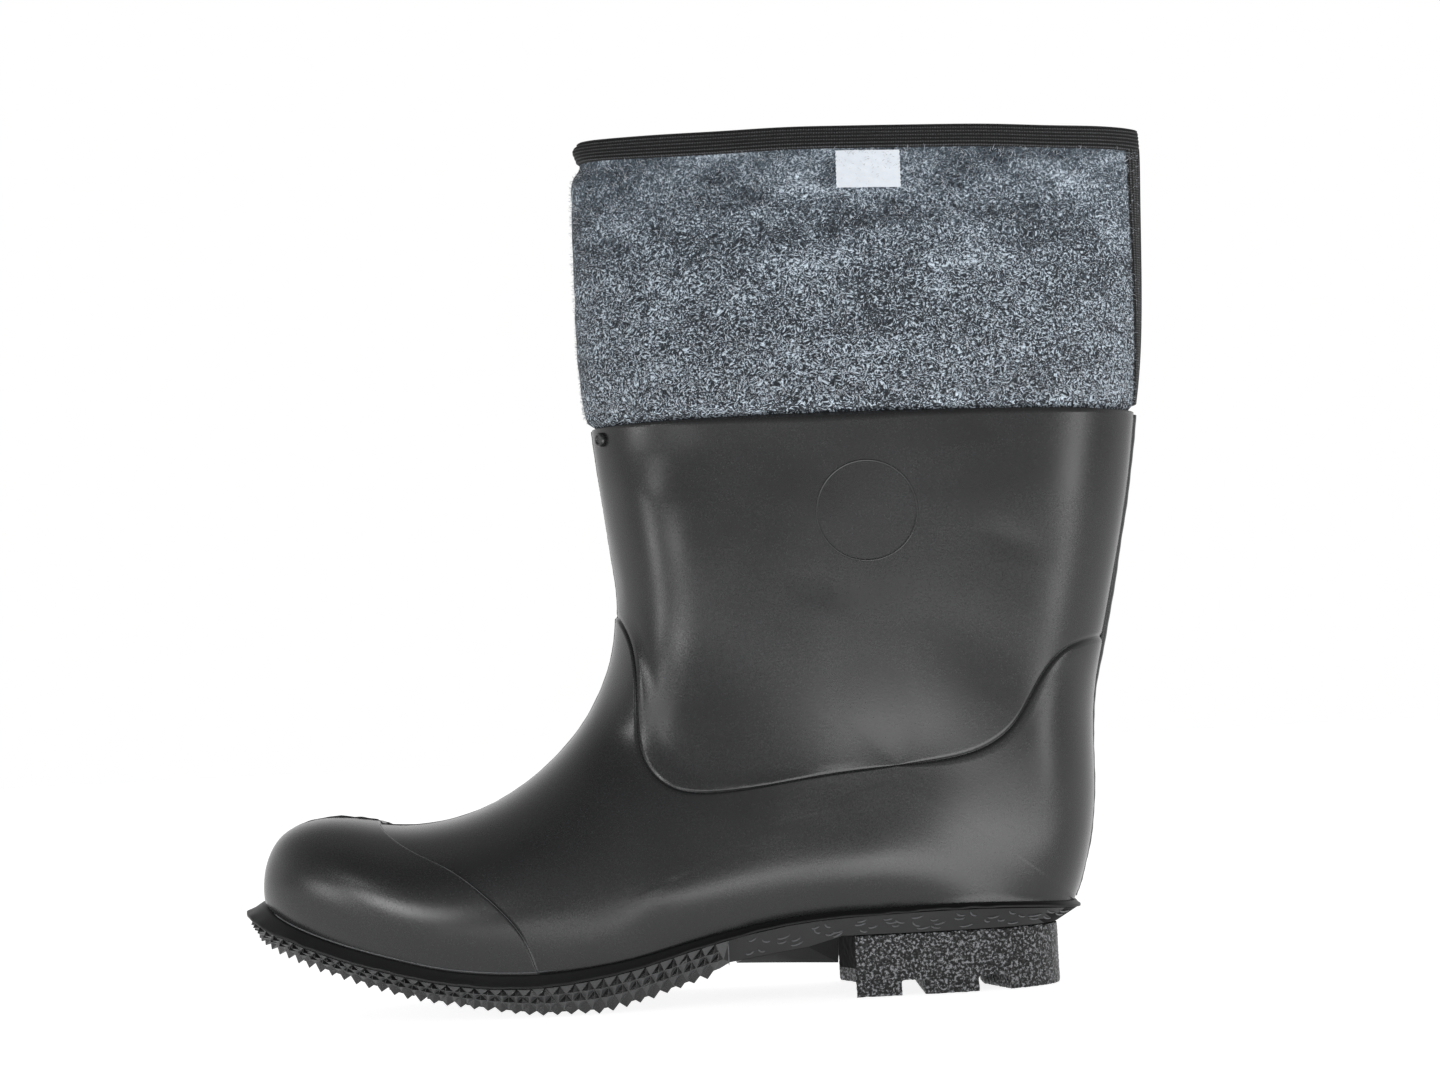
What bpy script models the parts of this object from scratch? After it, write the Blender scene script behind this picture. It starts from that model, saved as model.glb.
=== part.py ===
"""Lined rubber boot for the left foot, standing empty on its sole.

Sizes are millimetres. X runs from the toe to the heel, the outer side of the foot is towards -Y,
and the floor is at Z = 0. The finished model is centred over its bounding box.
"""
import math

import bmesh
import bpy
import numpy as np

MM = 0.001
WELD = 1e-6
TINY = 1e-6
COLLAPSED = 1e-4
NEARLY = 0.999

SOLE_LENGTH = 305.0
SEAT_GAP = 0.3
RUBBER_WALL = 2.6
CAP_RAISE = 1.2
SHAFT_SET_BACK = 0.7
STEP_HALF = 0.03
FELT_WALL = 4.5
FELT_SEAM_DEPTH = 9.0
TAPE_GAP = 0.45
TAPE_THICK = 0.9
TAPE_HEIGHT = 7.5

OUTER, INNER = -1, 1


def table(names, *rows):
    """Named columns from rows of numbers."""
    return {name: np.array(column, float) for name, column in zip(names.split(), zip(*rows))}


def spline(knots, values, at):
    """Natural cubic curve through (knots, values), read at the given places."""
    at = np.asarray(at, float)
    gap = np.diff(knots)
    slope = np.diff(values) / gap
    count = len(knots)
    system = np.eye(count)
    right = np.zeros(count)
    for i in range(1, count - 1):
        system[i, i - 1:i + 2] = gap[i - 1], 2 * (gap[i - 1] + gap[i]), gap[i]
        right[i] = 6 * (slope[i] - slope[i - 1])
    bend = np.linalg.solve(system, right)
    i = np.clip(np.searchsorted(knots, at) - 1, 0, count - 2)
    a = (knots[i + 1] - at) / gap[i]
    b = 1 - a
    curve = ((a ** 3 - a) * bend[i] + (b ** 3 - b) * bend[i + 1]) * gap[i] ** 2 / 6
    return a * values[i] + b * values[i + 1] + curve


# Plan of the sole: half widths along the foot, rounded off at both ends
PLAN = table(
    "x   outer inner",
    (0, 52.0, 54.0),
    (45, 52.6, 54.4),
    (85, 54.0, 53.6),
    (115, 54.4, 50.0),
    (150, 48.4, 43.0),
    (190, 41.2, 38.8),
    (230, 42.0, 41.2),
    (265, 46.6, 46.2),
    (305, 50.0, 50.0),
)
TOE_BLUNT = 2.6
HEEL_BLUNT = 3.0
TOE_SWING = 7.0
SWING_END = 120.0

# Outlines drawn inside the sole's rim: toe end, heel end, inset at the sides
OUTLINES = {
    "rim": (-1.4, SOLE_LENGTH, 0.0),
    "welt_top": (4.6, 303.6, 2.0),
    "feather": (7.4, 302.8, 3.5),
    "insole": (10.2, 298.2, 8.0),
    "tread_top": (1.0, 304.0, 1.6),
    "tread_foot": (3.6, 296.0, 4.0),
    "waist_top": (1.0, 304.0, 2.8),
    "waist_foot": (3.6, 296.0, 3.6),
    "heel": (3.6, 296.0, 3.6),
}

# Feather line, where the upper's wall meets the sole
FEATHER = table(
    "x  z",
    (0, 45.2),
    (6, 41.9),
    (14, 37.0),
    (24, 32.4),
    (37, 27.8),
    (57, 22.2),
    (75, 18.0),
    (90, 16.1),
    (108, 15.4),
    (128, 16.7),
    (145, 19.2),
    (164, 23.6),
    (180, 26.8),
    (200, 29.8),
    (226, 31.2),
    (268, 31.6),
    (290, 30.5),
    (305, 29.2),
)

# Height of the welt's band along the foot
WELT = table(
    "x  height",
    (0, 5.2),
    (60, 4.8),
    (110, 4.6),
    (150, 3.8),
    (185, 2.6),
    (215, 2.0),
    (260, 1.8),
    (305, 2.2),
)
WELT_EDGE = 0.8
WELT_GAP = 0.4

# Bottom of the forefoot, flat on the floor under the ball
ROCKER = table(
    "x  z",
    (0, 32.0),
    (5, 28.6),
    (18, 22.0),
    (34, 16.2),
    (49, 11.4),
    (63, 7.4),
    (78, 4.4),
    (92, 2.1),
    (106, 0.3),
    (115, -0.4),
    (126, -0.3),
    (136, 1.1),
    (148, 3.8),
    (162, 7.8),
    (178, 12.2),
)

# Lower edge of the waist and of the heel seat
WAIST = table(
    "x  z",
    (170, 14.2),
    (184, 16.0),
    (200, 18.2),
    (210, 19.3),
    (216, 21.9),
    (310, 21.9),
)

TREAD_END = 176.0
STUD_PITCH = 5.0
STUD_HEIGHT = 1.9
TOOTH_DROP = 1.4
TOOTH_CLEAR = 0.8
TOOTH_OUT = 0.7
TREAD_RIM = 6.0
TREAD_DEPTH = 3.0
SOLE_LEAST = 1.4
BAR_PERIOD = 6
BAR_STEPS = 4
BAR_START = 22.0
BAR_END = 168.0
CROWN_HEIGHT = (13.2, 11.2)
CROWN_INSET = 17.0
WAIST_X = (TREAD_END, 180.0, 181.0, 193.0, 204.0, 215.0, 216.0)
CROWN_X = (180.5, 215.5)
SEAT_COLUMNS = 12

HEEL_FRONT = (220.2, 216.6)
HEEL_HEIGHT = 21.6
HEEL_COLUMNS = 15
GROOVE_DEPTH = 5.4
FRONT_GROOVE = (236.4, 244.4)
BACK_GROOVE_FRONT = 264.0
BACK_GROOVE_REAR = 285.0
BACK_GROOVE_MIDDLE = 268.0
BACK_GROOVE_HALF = 8.0
CUTTER_REACH = 60.0
CUTTER_DROP = 5.0
INSOLE_THICK = 3.0
INSOLE_LIFT = 0.05

# Sections of the upper from toe to collar: a chord from base (feather line, then the back
# seam) to top (toe, instep, shin), half widths, where it is widest, and how round its ends are
UPPER = table(
    "base_x base_z top_x top_z outer inner widest low  high",
    (7.4, 40.9, 7.4, 41.6, 0.0, 0.0, 0.25, 2.20, 2.30),
    (8.9, 40.0, 7.5, 47.6, 13.4, 14.0, 0.25, 2.20, 2.30),
    (12.4, 37.6, 8.1, 54.6, 20.8, 21.6, 0.25, 2.20, 2.30),
    (18.8, 34.1, 11.0, 61.8, 27.8, 29.0, 0.25, 2.20, 2.30),
    (29.4, 30.1, 17.1, 67.5, 34.2, 35.6, 0.25, 2.20, 2.30),
    (42.4, 26.0, 28.7, 70.5, 39.8, 41.4, 0.25, 2.20, 2.28),
    (59.0, 21.7, 43.0, 69.7, 44.8, 46.2, 0.25, 2.20, 2.24),
    (77.0, 17.7, 60.0, 67.8, 48.4, 49.6, 0.25, 2.20, 2.18),
    (97.0, 15.7, 80.0, 70.2, 51.0, 50.6, 0.25, 2.20, 2.12),
    (119.0, 15.9, 98.0, 77.6, 51.8, 49.0, 0.26, 2.20, 2.08),
    (142.0, 18.7, 113.6, 88.8, 49.4, 46.0, 0.27, 2.20, 2.06),
    (166.0, 24.0, 125.5, 101.6, 46.0, 43.2, 0.28, 2.20, 2.06),
    (192.0, 28.8, 133.0, 114.2, 43.2, 41.4, 0.30, 2.20, 2.06),
    (220.0, 31.0, 137.2, 125.2, 41.8, 40.4, 0.34, 2.20, 2.06),
    (248.0, 31.6, 139.2, 135.6, 41.0, 40.0, 0.36, 2.25, 2.08),
    (271.0, 31.5, 139.8, 144.6, 40.6, 40.0, 0.38, 2.35, 2.10),
    (287.0, 30.7, 139.6, 152.1, 40.4, 40.0, 0.40, 2.45, 2.12),
    (297.5, 29.9, 138.9, 158.6, 40.2, 40.0, 0.42, 2.65, 2.14),
    (301.5, 29.5, 138.3, 163.6, 40.1, 40.0, 0.44, 2.85, 2.16),
    (302.8, 29.4, 137.8, 168.1, 40.0, 40.0, 0.45, 3.00, 2.18),
    (305.4, 35.6, 137.3, 172.6, 40.0, 40.0, 0.45, 3.00, 2.20),
    (308.9, 47.1, 136.8, 177.1, 40.0, 40.0, 0.45, 2.95, 2.20),
    (311.6, 61.6, 136.3, 181.6, 40.0, 40.0, 0.45, 2.85, 2.20),
    (312.8, 80.6, 135.7, 186.6, 40.0, 40.0, 0.45, 2.75, 2.20),
    (314.1, 100.6, 135.1, 191.6, 40.0, 40.0, 0.46, 2.65, 2.20),
    (318.6, 120.6, 134.6, 196.1, 40.0, 40.0, 0.46, 2.55, 2.20),
    (323.9, 141.6, 134.2, 200.1, 40.0, 40.0, 0.47, 2.45, 2.20),
    (329.0, 163.6, 133.8, 203.8, 40.0, 40.0, 0.47, 2.38, 2.20),
    (333.4, 185.6, 133.5, 207.1, 40.0, 40.0, 0.48, 2.30, 2.20),
    (336.6, 206.6, 133.3, 210.1, 40.0, 40.0, 0.50, 2.25, 2.20),
)
STATIONS = np.arange(len(UPPER["base_x"]), dtype=float)
COLLAR = STATIONS[-1]
HEEL_STATION = 19.0

# Rear edge of the toe cap and top edge of the galosh, as seen from the side
CAP_LINE = table(
    "x  z",
    (48.6, 69.5),
    (56.5, 63.2),
    (67.9, 56.9),
    (79.0, 51.6),
    (89.6, 44.1),
    (98.2, 36.1),
    (104.8, 27.1),
    (109.0, 15.5),
)
GALOSH_LINE = table(
    "x  z",
    (139.7, 140.6),
    (144.0, 132.6),
    (146.5, 120.6),
    (146.6, 102.6),
    (148.0, 90.1),
    (152.0, 82.6),
    (160.0, 76.8),
    (172.0, 75.0),
    (211.0, 78.8),
    (250.0, 82.0),
    (268.0, 85.2),
    (279.0, 91.2),
    (291.0, 107.2),
    (302.0, 119.2),
    (319.5, 124.2),
)
SIDE_TURNS = np.radians([0, 10, 20, 30, 40, 50, 60, 74, 90, 100, 109, 117, 125, 134, 145, 157, 169, 180])
SIDE_COLUMNS = len(SIDE_TURNS) - 1
CAP_ROWS = (0.05, 0.11, 0.19, 0.29, 0.41, 0.54, 0.68, 0.84)
VAMP_ROWS = (0.095, 0.19, 0.285, 0.38, 0.475, 0.57, 0.665, 0.76, 0.84, 0.91, 0.96)
COUNTER_ROWS = (0.14, 0.28, 0.42, 0.56, 0.70, 0.85)
SHAFT_ROWS = 9

# Rings of the felt leg above the rubber's edge
FELT = table(
    "base_x base_z top_x top_z half widest low  high",
    (336.0, 210.0, 132.6, 213.4, 40.4, 0.50, 2.00, 2.2),
    (337.6, 219.1, 131.4, 222.6, 39.4, 0.50, 1.90, 2.2),
    (339.6, 235.6, 130.4, 239.6, 37.4, 0.50, 1.78, 2.2),
    (341.2, 259.6, 130.0, 263.6, 33.4, 0.50, 1.68, 2.1),
    (342.4, 285.6, 130.2, 289.6, 28.0, 0.50, 1.62, 2.0),
    (343.2, 303.6, 132.0, 307.6, 23.6, 0.50, 1.60, 2.0),
    (343.0, 312.8, 133.4, 317.2, 21.0, 0.50, 1.60, 2.0),
)
FELT_RINGS = np.arange(len(FELT["half"]), dtype=float)
FELT_TOP = FELT_RINGS[-1]
TUCK_CLEAR = RUBBER_WALL + 0.5
TUCK_STATIONS = (26.6, 27.8, 29.0)
TUCK_LIFT = 0.6
FELT_COLUMNS = 16

STRIP_HALF = 2.6
STRIP_THICK = 1.0
STRIP_CREST = 0.45
STRIP_ROWS = 26
STRIP_STEP = (-0.1, 0.08, 0.34)
STRIP_SEAT = 0.4
BACK_TAPE_SIDE = 6.5
LABEL_X = (229.4, 252.8)
LABEL_Z = (293.2, 306.8)
LABEL_THICK = 0.5
STUD_PLACE = (137.7, 205.6)
STUD_STATIONS = (27.0, 29.0)
STUD_TURNS = (2.2, 3.1)
STUD_SEAT = 0.55
STUD_RADIUS = 2.6
STUD_RISE = 1.5


def half_width(kind, side, x):
    """Half width of one of the sole's outlines."""
    toe, heel, inset = OUTLINES[kind]
    x = np.clip(x, toe, heel)
    end = 2 * (x - toe) / (heel - toe) - 1
    blunt = np.where(end < 0, TOE_BLUNT, HEEL_BLUNT)
    rounding = (1 - np.abs(end) ** blunt) ** (1 / blunt)
    outer = spline(PLAN["x"], PLAN["outer"], x)
    inner = spline(PLAN["x"], PLAN["inner"], x)
    return rounding * (np.where(side < 0, outer, inner) - inset)


def swing(x):
    """How far the toe turns towards the inner side."""
    return TOE_SWING * np.clip(1 - x / SWING_END, 0, 1) ** 2


def outline(kind, side, turn):
    """Plan points of an outline, turn running from the toe (0) to the heel (pi)."""
    toe, heel, inset = OUTLINES[kind]
    x = toe + (heel - toe) * (1 - np.cos(turn)) / 2
    return x, side * half_width(kind, side, x) + swing(x)


def feather_z(x):
    return spline(FEATHER["x"], FEATHER["z"], x)


def rocker_z(x):
    return np.maximum(0.0, spline(ROCKER["x"], ROCKER["z"], x))


def make_object(name, vertices, faces, material, parent):
    """Closed solid from millimetre points, shaded smooth with crisp edges."""
    bm = bmesh.new()
    made = [bm.verts.new(np.asarray(point, float) * MM) for point in vertices]
    for face in faces:
        bm.faces.new([made[i] for i in face])
    bmesh.ops.remove_doubles(bm, verts=bm.verts, dist=WELD)
    bmesh.ops.dissolve_degenerate(bm, edges=bm.edges, dist=WELD)
    bmesh.ops.triangulate(bm, faces=bm.faces)
    bmesh.ops.recalc_face_normals(bm, faces=bm.faces)
    return add_to_scene(name, bm, material, parent)


def add_to_scene(name, bm, material, parent):
    mesh = bpy.data.meshes.new(name)
    bm.to_mesh(mesh)
    bm.free()
    mesh.shade_smooth()
    mesh.set_sharp_from_angle(angle=math.radians(40))
    mesh.materials.append(material)
    made = bpy.data.objects.new(name, mesh)
    bpy.context.scene.collection.objects.link(made)
    made.parent = parent
    return made


def principled(name, colour, roughness):
    material = bpy.data.materials.new(name)
    material.use_nodes = True
    shader = material.node_tree.nodes["Principled BSDF"]
    shader.inputs["Base Color"].default_value = (*colour, 1)
    shader.inputs["Roughness"].default_value = roughness
    shader.inputs["Metallic"].default_value = 0
    return material


def skin(grid, faces, start, flip=False):
    """Quads of a grid of points whose indices begin at start."""
    rows, columns = grid.shape[:2]
    for r in range(rows - 1):
        for c in range(columns - 1):
            a = start + r * columns + c
            quad = (a, a + 1, a + columns + 1, a + columns)
            faces.append(quad[::-1] if flip else quad)


def spread_of(reach, widest, low, high, foot):
    """Share of the half width at a share of the chord, foot being the share at its base."""
    below = np.clip((widest - reach) / widest, 0, 1)
    above = np.clip((reach - widest) / (1 - widest), 0, 1)
    lower = (1 - (1 - foot ** low) * below ** low) ** (1 / low)
    upper = (1 - above ** high) ** (1 / high)
    return np.where(reach < widest, lower, upper)


def reach_of(turn, widest, low, high, foot):
    """Share of the chord at an angle, from its base (0) to its top (pi)."""
    cosine = np.abs(np.cos(turn))
    rounded = cosine ** (2 / low)
    even = 1 - 2 * turn / math.pi
    below = widest * (1 - rounded - (even - rounded) * foot ** 2)
    above = widest + (1 - widest) * cosine ** (2 / high)
    return np.where(turn < math.pi / 2, below, above)


def upper_section(s):
    """Section of the upper at station s."""
    part = {name: spline(STATIONS, UPPER[name], s) for name in UPPER}
    part["base_z"] = np.where(s <= HEEL_STATION, feather_z(part["base_x"]), part["base_z"])
    return part


def upper_point(s, turn, side):
    """Point on the upper's plain outer surface."""
    part = upper_section(s)
    width = np.maximum(np.where(side < 0, part["outer"], part["inner"]), TINY)
    foot = np.clip(half_width("feather", side, part["base_x"]) / width, 0, NEARLY)
    foot = np.where(s < HEEL_STATION, foot, 0.0)
    shape = (part["widest"], part["low"], part["high"], foot)
    reach = reach_of(turn, *shape)
    x = part["base_x"] + reach * (part["top_x"] - part["base_x"])
    z = part["base_z"] + reach * (part["top_z"] - part["base_z"])
    y = side * width * spread_of(reach, *shape) + swing(part["base_x"])
    return np.stack([x, y, z], axis=-1)


def upper_normal(s, turn, side):
    """Outward direction of the upper's surface."""
    small = 0.01
    along = upper_point(np.clip(s + small, 0, COLLAR), turn, side)
    along = along - upper_point(np.clip(s - small, 0, COLLAR), turn, side)
    across = upper_point(s, np.clip(turn + small, 0, math.pi), side)
    across = across - upper_point(s, np.clip(turn - small, 0, math.pi), side)
    ridge = (turn > math.pi - small) | ((turn < small) & (s >= HEEL_STATION))
    across = np.where(ridge[..., None], np.array([0.0, 1.0, 0.0]), across)
    normal = np.cross(along, across)
    normal /= np.maximum(np.linalg.norm(normal, axis=-1, keepdims=True), TINY)
    part = upper_section(s)
    middle = np.stack([
        (part["base_x"] + part["top_x"]) / 2,
        swing(part["base_x"]),
        (part["base_z"] + part["top_z"]) / 2,
    ], axis=-1)
    outward = np.sum(normal * (upper_point(s, turn, side) - middle), axis=-1, keepdims=True)
    return normal * np.where(outward < 0, -1, 1)


def station_line(line, turns):
    """Stations at which a line drawn from the side crosses the given angles."""
    fine = np.linspace(0, COLLAR, 1200)
    part = upper_section(fine)
    chord_x = part["top_x"] - part["base_x"]
    chord_z = part["top_z"] - part["base_z"]
    knots = []
    for x, z in zip(line["x"], line["z"]):
        side_of = (x - part["base_x"]) * chord_z - (z - part["base_z"]) * chord_x
        before = np.nonzero((side_of[:-1] > 0) & (side_of[1:] <= 0))[0][-1]
        s = fine[before]
        here = upper_section(s)
        run = np.array([here["top_x"] - here["base_x"], here["top_z"] - here["base_z"]])
        off = np.array([x - here["base_x"], z - here["base_z"]])
        reach = np.clip(off @ run / (run @ run), 0, 1)
        foot = np.clip(half_width("feather", OUTER, here["base_x"]) / here["outer"], 0, NEARLY)
        foot = foot if s < HEEL_STATION else 0.0
        angles = np.linspace(0, math.pi, 400)
        reaches = reach_of(angles, here["widest"], here["low"], here["high"], foot)
        knots.append((np.interp(reach, reaches, angles), s))
    knots.sort()
    angles, stations = np.array(knots).T
    angles[0], angles[-1] = 0.0, math.pi
    return spline(angles, stations, turns)


def upper_rows(turns):
    """Rows of stations over the given angles, each with its raise, and the heel row's place."""
    cap = station_line(CAP_LINE, turns)
    galosh = station_line(GALOSH_LINE, turns)
    heel_share = (HEEL_STATION - cap[0]) / (galosh[0] - cap[0])
    rows = [(cap * share, CAP_RAISE) for share in CAP_ROWS]
    rows.append((cap - STEP_HALF, CAP_RAISE))
    rows.append((cap + STEP_HALF, 0.0))
    shares = [share * heel_share for share in VAMP_ROWS] + [heel_share]
    shares += [heel_share + (1 - heel_share) * share for share in COUNTER_ROWS]
    rows += [(cap + (galosh - cap) * share, 0.0) for share in shares]
    rows.append((galosh - STEP_HALF, 0.0))
    rows.append((galosh + STEP_HALF, -SHAFT_SET_BACK))
    for share in np.linspace(0, 1, SHAFT_ROWS + 1)[1:]:
        rows.append((galosh + (COLLAR - galosh) * share, -SHAFT_SET_BACK))
    return rows


def both_sides(turns):
    """Angles and sides round a section, from the outer base over the top to the inner base."""
    angles = np.concatenate([turns, turns[-2::-1]])
    sides = np.concatenate([np.full(len(turns), OUTER), np.full(len(turns) - 1, INNER)])
    return angles, sides


def toe_tip(back):
    """Tip of the feather line, moved back from the upper's plain surface."""
    x = OUTLINES["feather"][0]
    return np.array([x + back, float(swing(x)), float(feather_z(x + back))])


def build_upper(material, parent):
    turns = SIDE_TURNS
    angles, sides = both_sides(turns)
    outside = [np.tile(toe_tip(-CAP_RAISE), (len(angles), 1))]
    inside = [np.tile(toe_tip(RUBBER_WALL), (len(angles), 1))]
    base = [0.0]
    for stations, rise in upper_rows(turns):
        s = np.concatenate([stations, stations[-2::-1]])
        point = upper_point(s, angles, sides)
        normal = upper_normal(s, angles, sides)
        outside.append(point + normal * rise)
        inside.append(point - normal * RUBBER_WALL)
        base.append(stations[0])
    outside, inside = np.array(outside), np.array(inside)
    open_rows = np.array(base) < HEEL_STATION + TINY
    near_base = np.clip(np.cos(angles), 0, 1)
    for half in (slice(0, SIDE_COLUMNS), slice(len(angles) - 1, SIDE_COLUMNS, -1)):
        for grid in (outside, inside):
            edge = grid[open_rows, half.start]
            lift = feather_z(edge[:, 0]) - edge[:, 2]
            grid[open_rows, half, 2] += lift[:, None] * near_base[half]
    outside[~open_rows, -1] = outside[~open_rows, 0]
    inside[~open_rows, -1] = inside[~open_rows, 0]
    rows, columns = outside.shape[:2]
    faces = []
    skin(outside, faces, 0)
    skin(inside, faces, rows * columns, flip=True)
    shift = rows * columns
    for r in np.nonzero(open_rows)[0][:-1]:
        for c in (0, columns - 1):
            a = r * columns + c
            faces.append((a, a + columns, a + columns + shift, a + shift))
    for c in range(columns - 1):
        a = (rows - 1) * columns + c
        faces.append((a, a + 1, a + 1 + shift, a + shift))
    points = np.concatenate([outside.reshape(-1, 3), inside.reshape(-1, 3)])
    return make_object("upper", points, drop_collapsed(points, faces), material, parent)


def drop_collapsed(points, faces):
    """Faces with repeated corners removed, so that poles close as triangles."""
    kept = []
    for face in faces:
        corners = []
        for i in face:
            if all(np.linalg.norm(points[i] - points[j]) > COLLAPSED for j in corners):
                corners.append(i)
        if len(corners) > 2:
            kept.append(corners)
    return kept


def build_back_strip(material, parent):
    galosh = float(station_line(GALOSH_LINE, np.array([0.0, math.pi]))[0])
    step = galosh + np.array(STRIP_STEP)
    s = np.linspace(HEEL_STATION + 0.25, COLLAR - 0.06, STRIP_ROWS)
    s = np.sort(np.concatenate([s[(s < step[0]) | (s > step[-1])], step]))
    part = upper_section(s)
    turn = np.arcsin((STRIP_HALF / part["outer"]) ** (part["low"] / 2))
    seat = STRIP_SEAT - np.interp(s, step[1:], (0.0, SHAFT_SET_BACK))
    rings = []
    for share, lift in ((1, 0.0), (STRIP_CREST, STRIP_THICK), (-STRIP_CREST, STRIP_THICK), (-1, 0.0)):
        side = OUTER if share > 0 else INNER
        point = upper_point(s, turn * abs(share), side)
        normal = upper_normal(s, turn * abs(share), side)
        rings.append(point + normal * (seat + lift)[:, None])
    rings.append((rings[0] + rings[3]) / 2)
    return loft("back_strip", np.stack(rings, axis=1), material, parent)


def loft(name, sections, material, parent, closed=False):
    """Solid swept through sections, each a closed ring of points."""
    rows, columns = sections.shape[:2]
    faces = []
    last = rows if closed else rows - 1
    for r in range(last):
        for c in range(columns):
            a, b = r * columns + c, r * columns + (c + 1) % columns
            step = ((r + 1) % rows - r) * columns
            faces.append((a, b, b + step, a + step))
    if not closed:
        faces.append(tuple(range(columns))[::-1])
        faces.append(tuple((rows - 1) * columns + c for c in range(columns)))
    return make_object(name, sections.reshape(-1, 3), faces, material, parent)


def sole_loop(kind, turns, height):
    """Closed loop round the foot: outer side to the heel, inner side back to the toe."""
    loops = []
    for side, part in ((OUTER, turns), (INNER, turns[-2:0:-1])):
        x, y = outline(kind, side, part)
        loops.append(np.stack([x, y, height(part, x)], axis=-1))
    return np.concatenate(loops)


def stacked(loops, close=True):
    """Points and faces of loops joined in order, the first and last closed by rungs."""
    size = len(loops[0])
    faces = []
    for k in range(len(loops) - 1):
        for i in range(size):
            j = (i + 1) % size
            faces.append((k * size + i, k * size + j, (k + 1) * size + j, (k + 1) * size + i))
    if close:
        faces += rungs(0, size)
        faces += rungs((len(loops) - 1) * size, size)
    return np.concatenate(loops), faces


def rungs(start, size):
    """Faces across a loop, from each point of one side to its fellow on the other."""
    faces = []
    for i in range(size // 2):
        quad = [i, i + 1, (size - i - 1) % size, (size - i) % size]
        faces.append([start + k for k in dict.fromkeys(quad)])
    return faces


SOLE_TURNS = np.linspace(0, math.pi, 41)


def welt_top(turns):
    """Height of the welt's upper face at angles round the foot."""
    return feather_z(outline("welt_top", OUTER, turns)[0]) - WELT_GAP


def welt_bottom(turns):
    x = outline("rim", OUTER, turns)[0]
    return welt_top(turns) - spline(WELT["x"], WELT["height"], x)


def under_welt(x):
    """Height of the welt's lower face along the foot."""
    fine = np.linspace(0, math.pi, 600)
    return np.interp(x, outline("rim", OUTER, fine)[0], welt_bottom(fine))


def build_welt(material, parent):
    loops = [
        sole_loop("welt_top", SOLE_TURNS, lambda turn, x: welt_top(turn)),
        sole_loop("rim", SOLE_TURNS, lambda turn, x: welt_bottom(turn) + WELT_EDGE),
        sole_loop("rim", SOLE_TURNS, lambda turn, x: welt_bottom(turn)),
    ]
    return make_object("welt", *stacked(loops), material, parent)


def build_insole(material, parent):
    loops = [
        sole_loop("insole", SOLE_TURNS, lambda turn, x: feather_z(x) + INSOLE_THICK),
        sole_loop("insole", SOLE_TURNS, lambda turn, x: feather_z(x) + INSOLE_LIFT),
    ]
    return make_object("insole", *stacked(loops), material, parent)


def stud_turns(side):
    """Angles of the stud columns, half a pitch apart from the toe to the tread's end."""
    fine = np.linspace(0, math.pi / 2 + 0.6, 3000)
    x, y = outline("tread_top", side, fine)
    run = np.concatenate([[0], np.cumsum(np.hypot(np.diff(x), np.diff(y)))])
    end = np.interp(TREAD_END, x, run)
    return np.interp(np.linspace(0, end, stud_steps() + 1), run, fine)


def stud_steps():
    """Half pitches from the toe to the tread's end, even in number."""
    fine = np.linspace(0, math.pi / 2 + 0.6, 3000)
    x, y = outline("tread_top", OUTER, fine)
    run = np.sum(np.hypot(np.diff(x), np.diff(y))[x[1:] < TREAD_END])
    return 2 * round(run / STUD_PITCH)


def outward(kind, side, turn):
    """Plan direction out of an outline."""
    small = 0.004
    ahead = np.array(outline(kind, side, np.clip(turn + small, 0, math.pi)))
    behind = np.array(outline(kind, side, np.clip(turn - small, 0, math.pi)))
    run = (ahead - behind).T
    normal = np.stack([run[:, 1], -run[:, 0]], axis=-1) * -side
    normal /= np.linalg.norm(normal, axis=-1, keepdims=True)
    normal[turn < small] = (-1.0, 0.0)
    normal[turn > math.pi - small] = (1.0, 0.0)
    return normal


def side_wall(side):
    """Four rows of points down the sole's side, and a fifth under it, toe to heel."""
    tread = stud_turns(side)
    fine = np.linspace(0, math.pi, 4000)
    waist = np.interp(WAIST_X, outline("waist_foot", side, fine)[0], fine)
    seat = np.concatenate([waist[:-1], np.linspace(waist[-1], math.pi, SEAT_COLUMNS)])
    kinds = (("tread_top", "tread_foot", tread), ("waist_top", "waist_foot", seat))
    walls = []
    for top_kind, foot_kind, turn in kinds:
        x, y = outline(top_kind, side, turn)
        top = np.stack([x, y, under_welt(x) - SEAT_GAP], axis=-1)
        x, y = outline(foot_kind, side, turn)
        if turn is tread:
            bottom = rocker_z(x) + TOOTH_CLEAR + TOOTH_DROP
        else:
            bottom = np.interp(x, WAIST["x"], WAIST["z"])
        foot = np.stack([x, y, bottom], axis=-1)
        out = outward(foot_kind, side, turn)
        out = np.concatenate([out, np.zeros((len(turn), 1))], axis=1)
        rows = [top + (foot - top) * k / 3 for k in range(4)]
        if turn is tread:
            column = np.arange(len(turn))
            for k in (1, 2, 3):
                peak = ((column + k) % 2 == 1) & (column < len(turn) - 1)
                lift = STUD_HEIGHT if k < 3 else TOOTH_OUT
                rows[k] = rows[k] + out * (lift * peak)[:, None]
                if k == 3:
                    rows[k][:, 2] -= TOOTH_DROP * peak
            inner = foot - out * TREAD_RIM
            thin = under_welt(inner[:, 0]) - SEAT_GAP - SOLE_LEAST
            inner[:, 2] = np.minimum(rocker_z(inner[:, 0]) + TREAD_DEPTH, thin)
        else:
            crown = (x > CROWN_X[0]) & (x < CROWN_X[1])
            inner = foot - out * CROWN_INSET
            inner[:, 2] = np.where(crown, np.interp(x, CROWN_X, CROWN_HEIGHT), bottom)
        walls.append(np.stack(rows + [inner], axis=1))
    return walls[0], walls[1]


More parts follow.
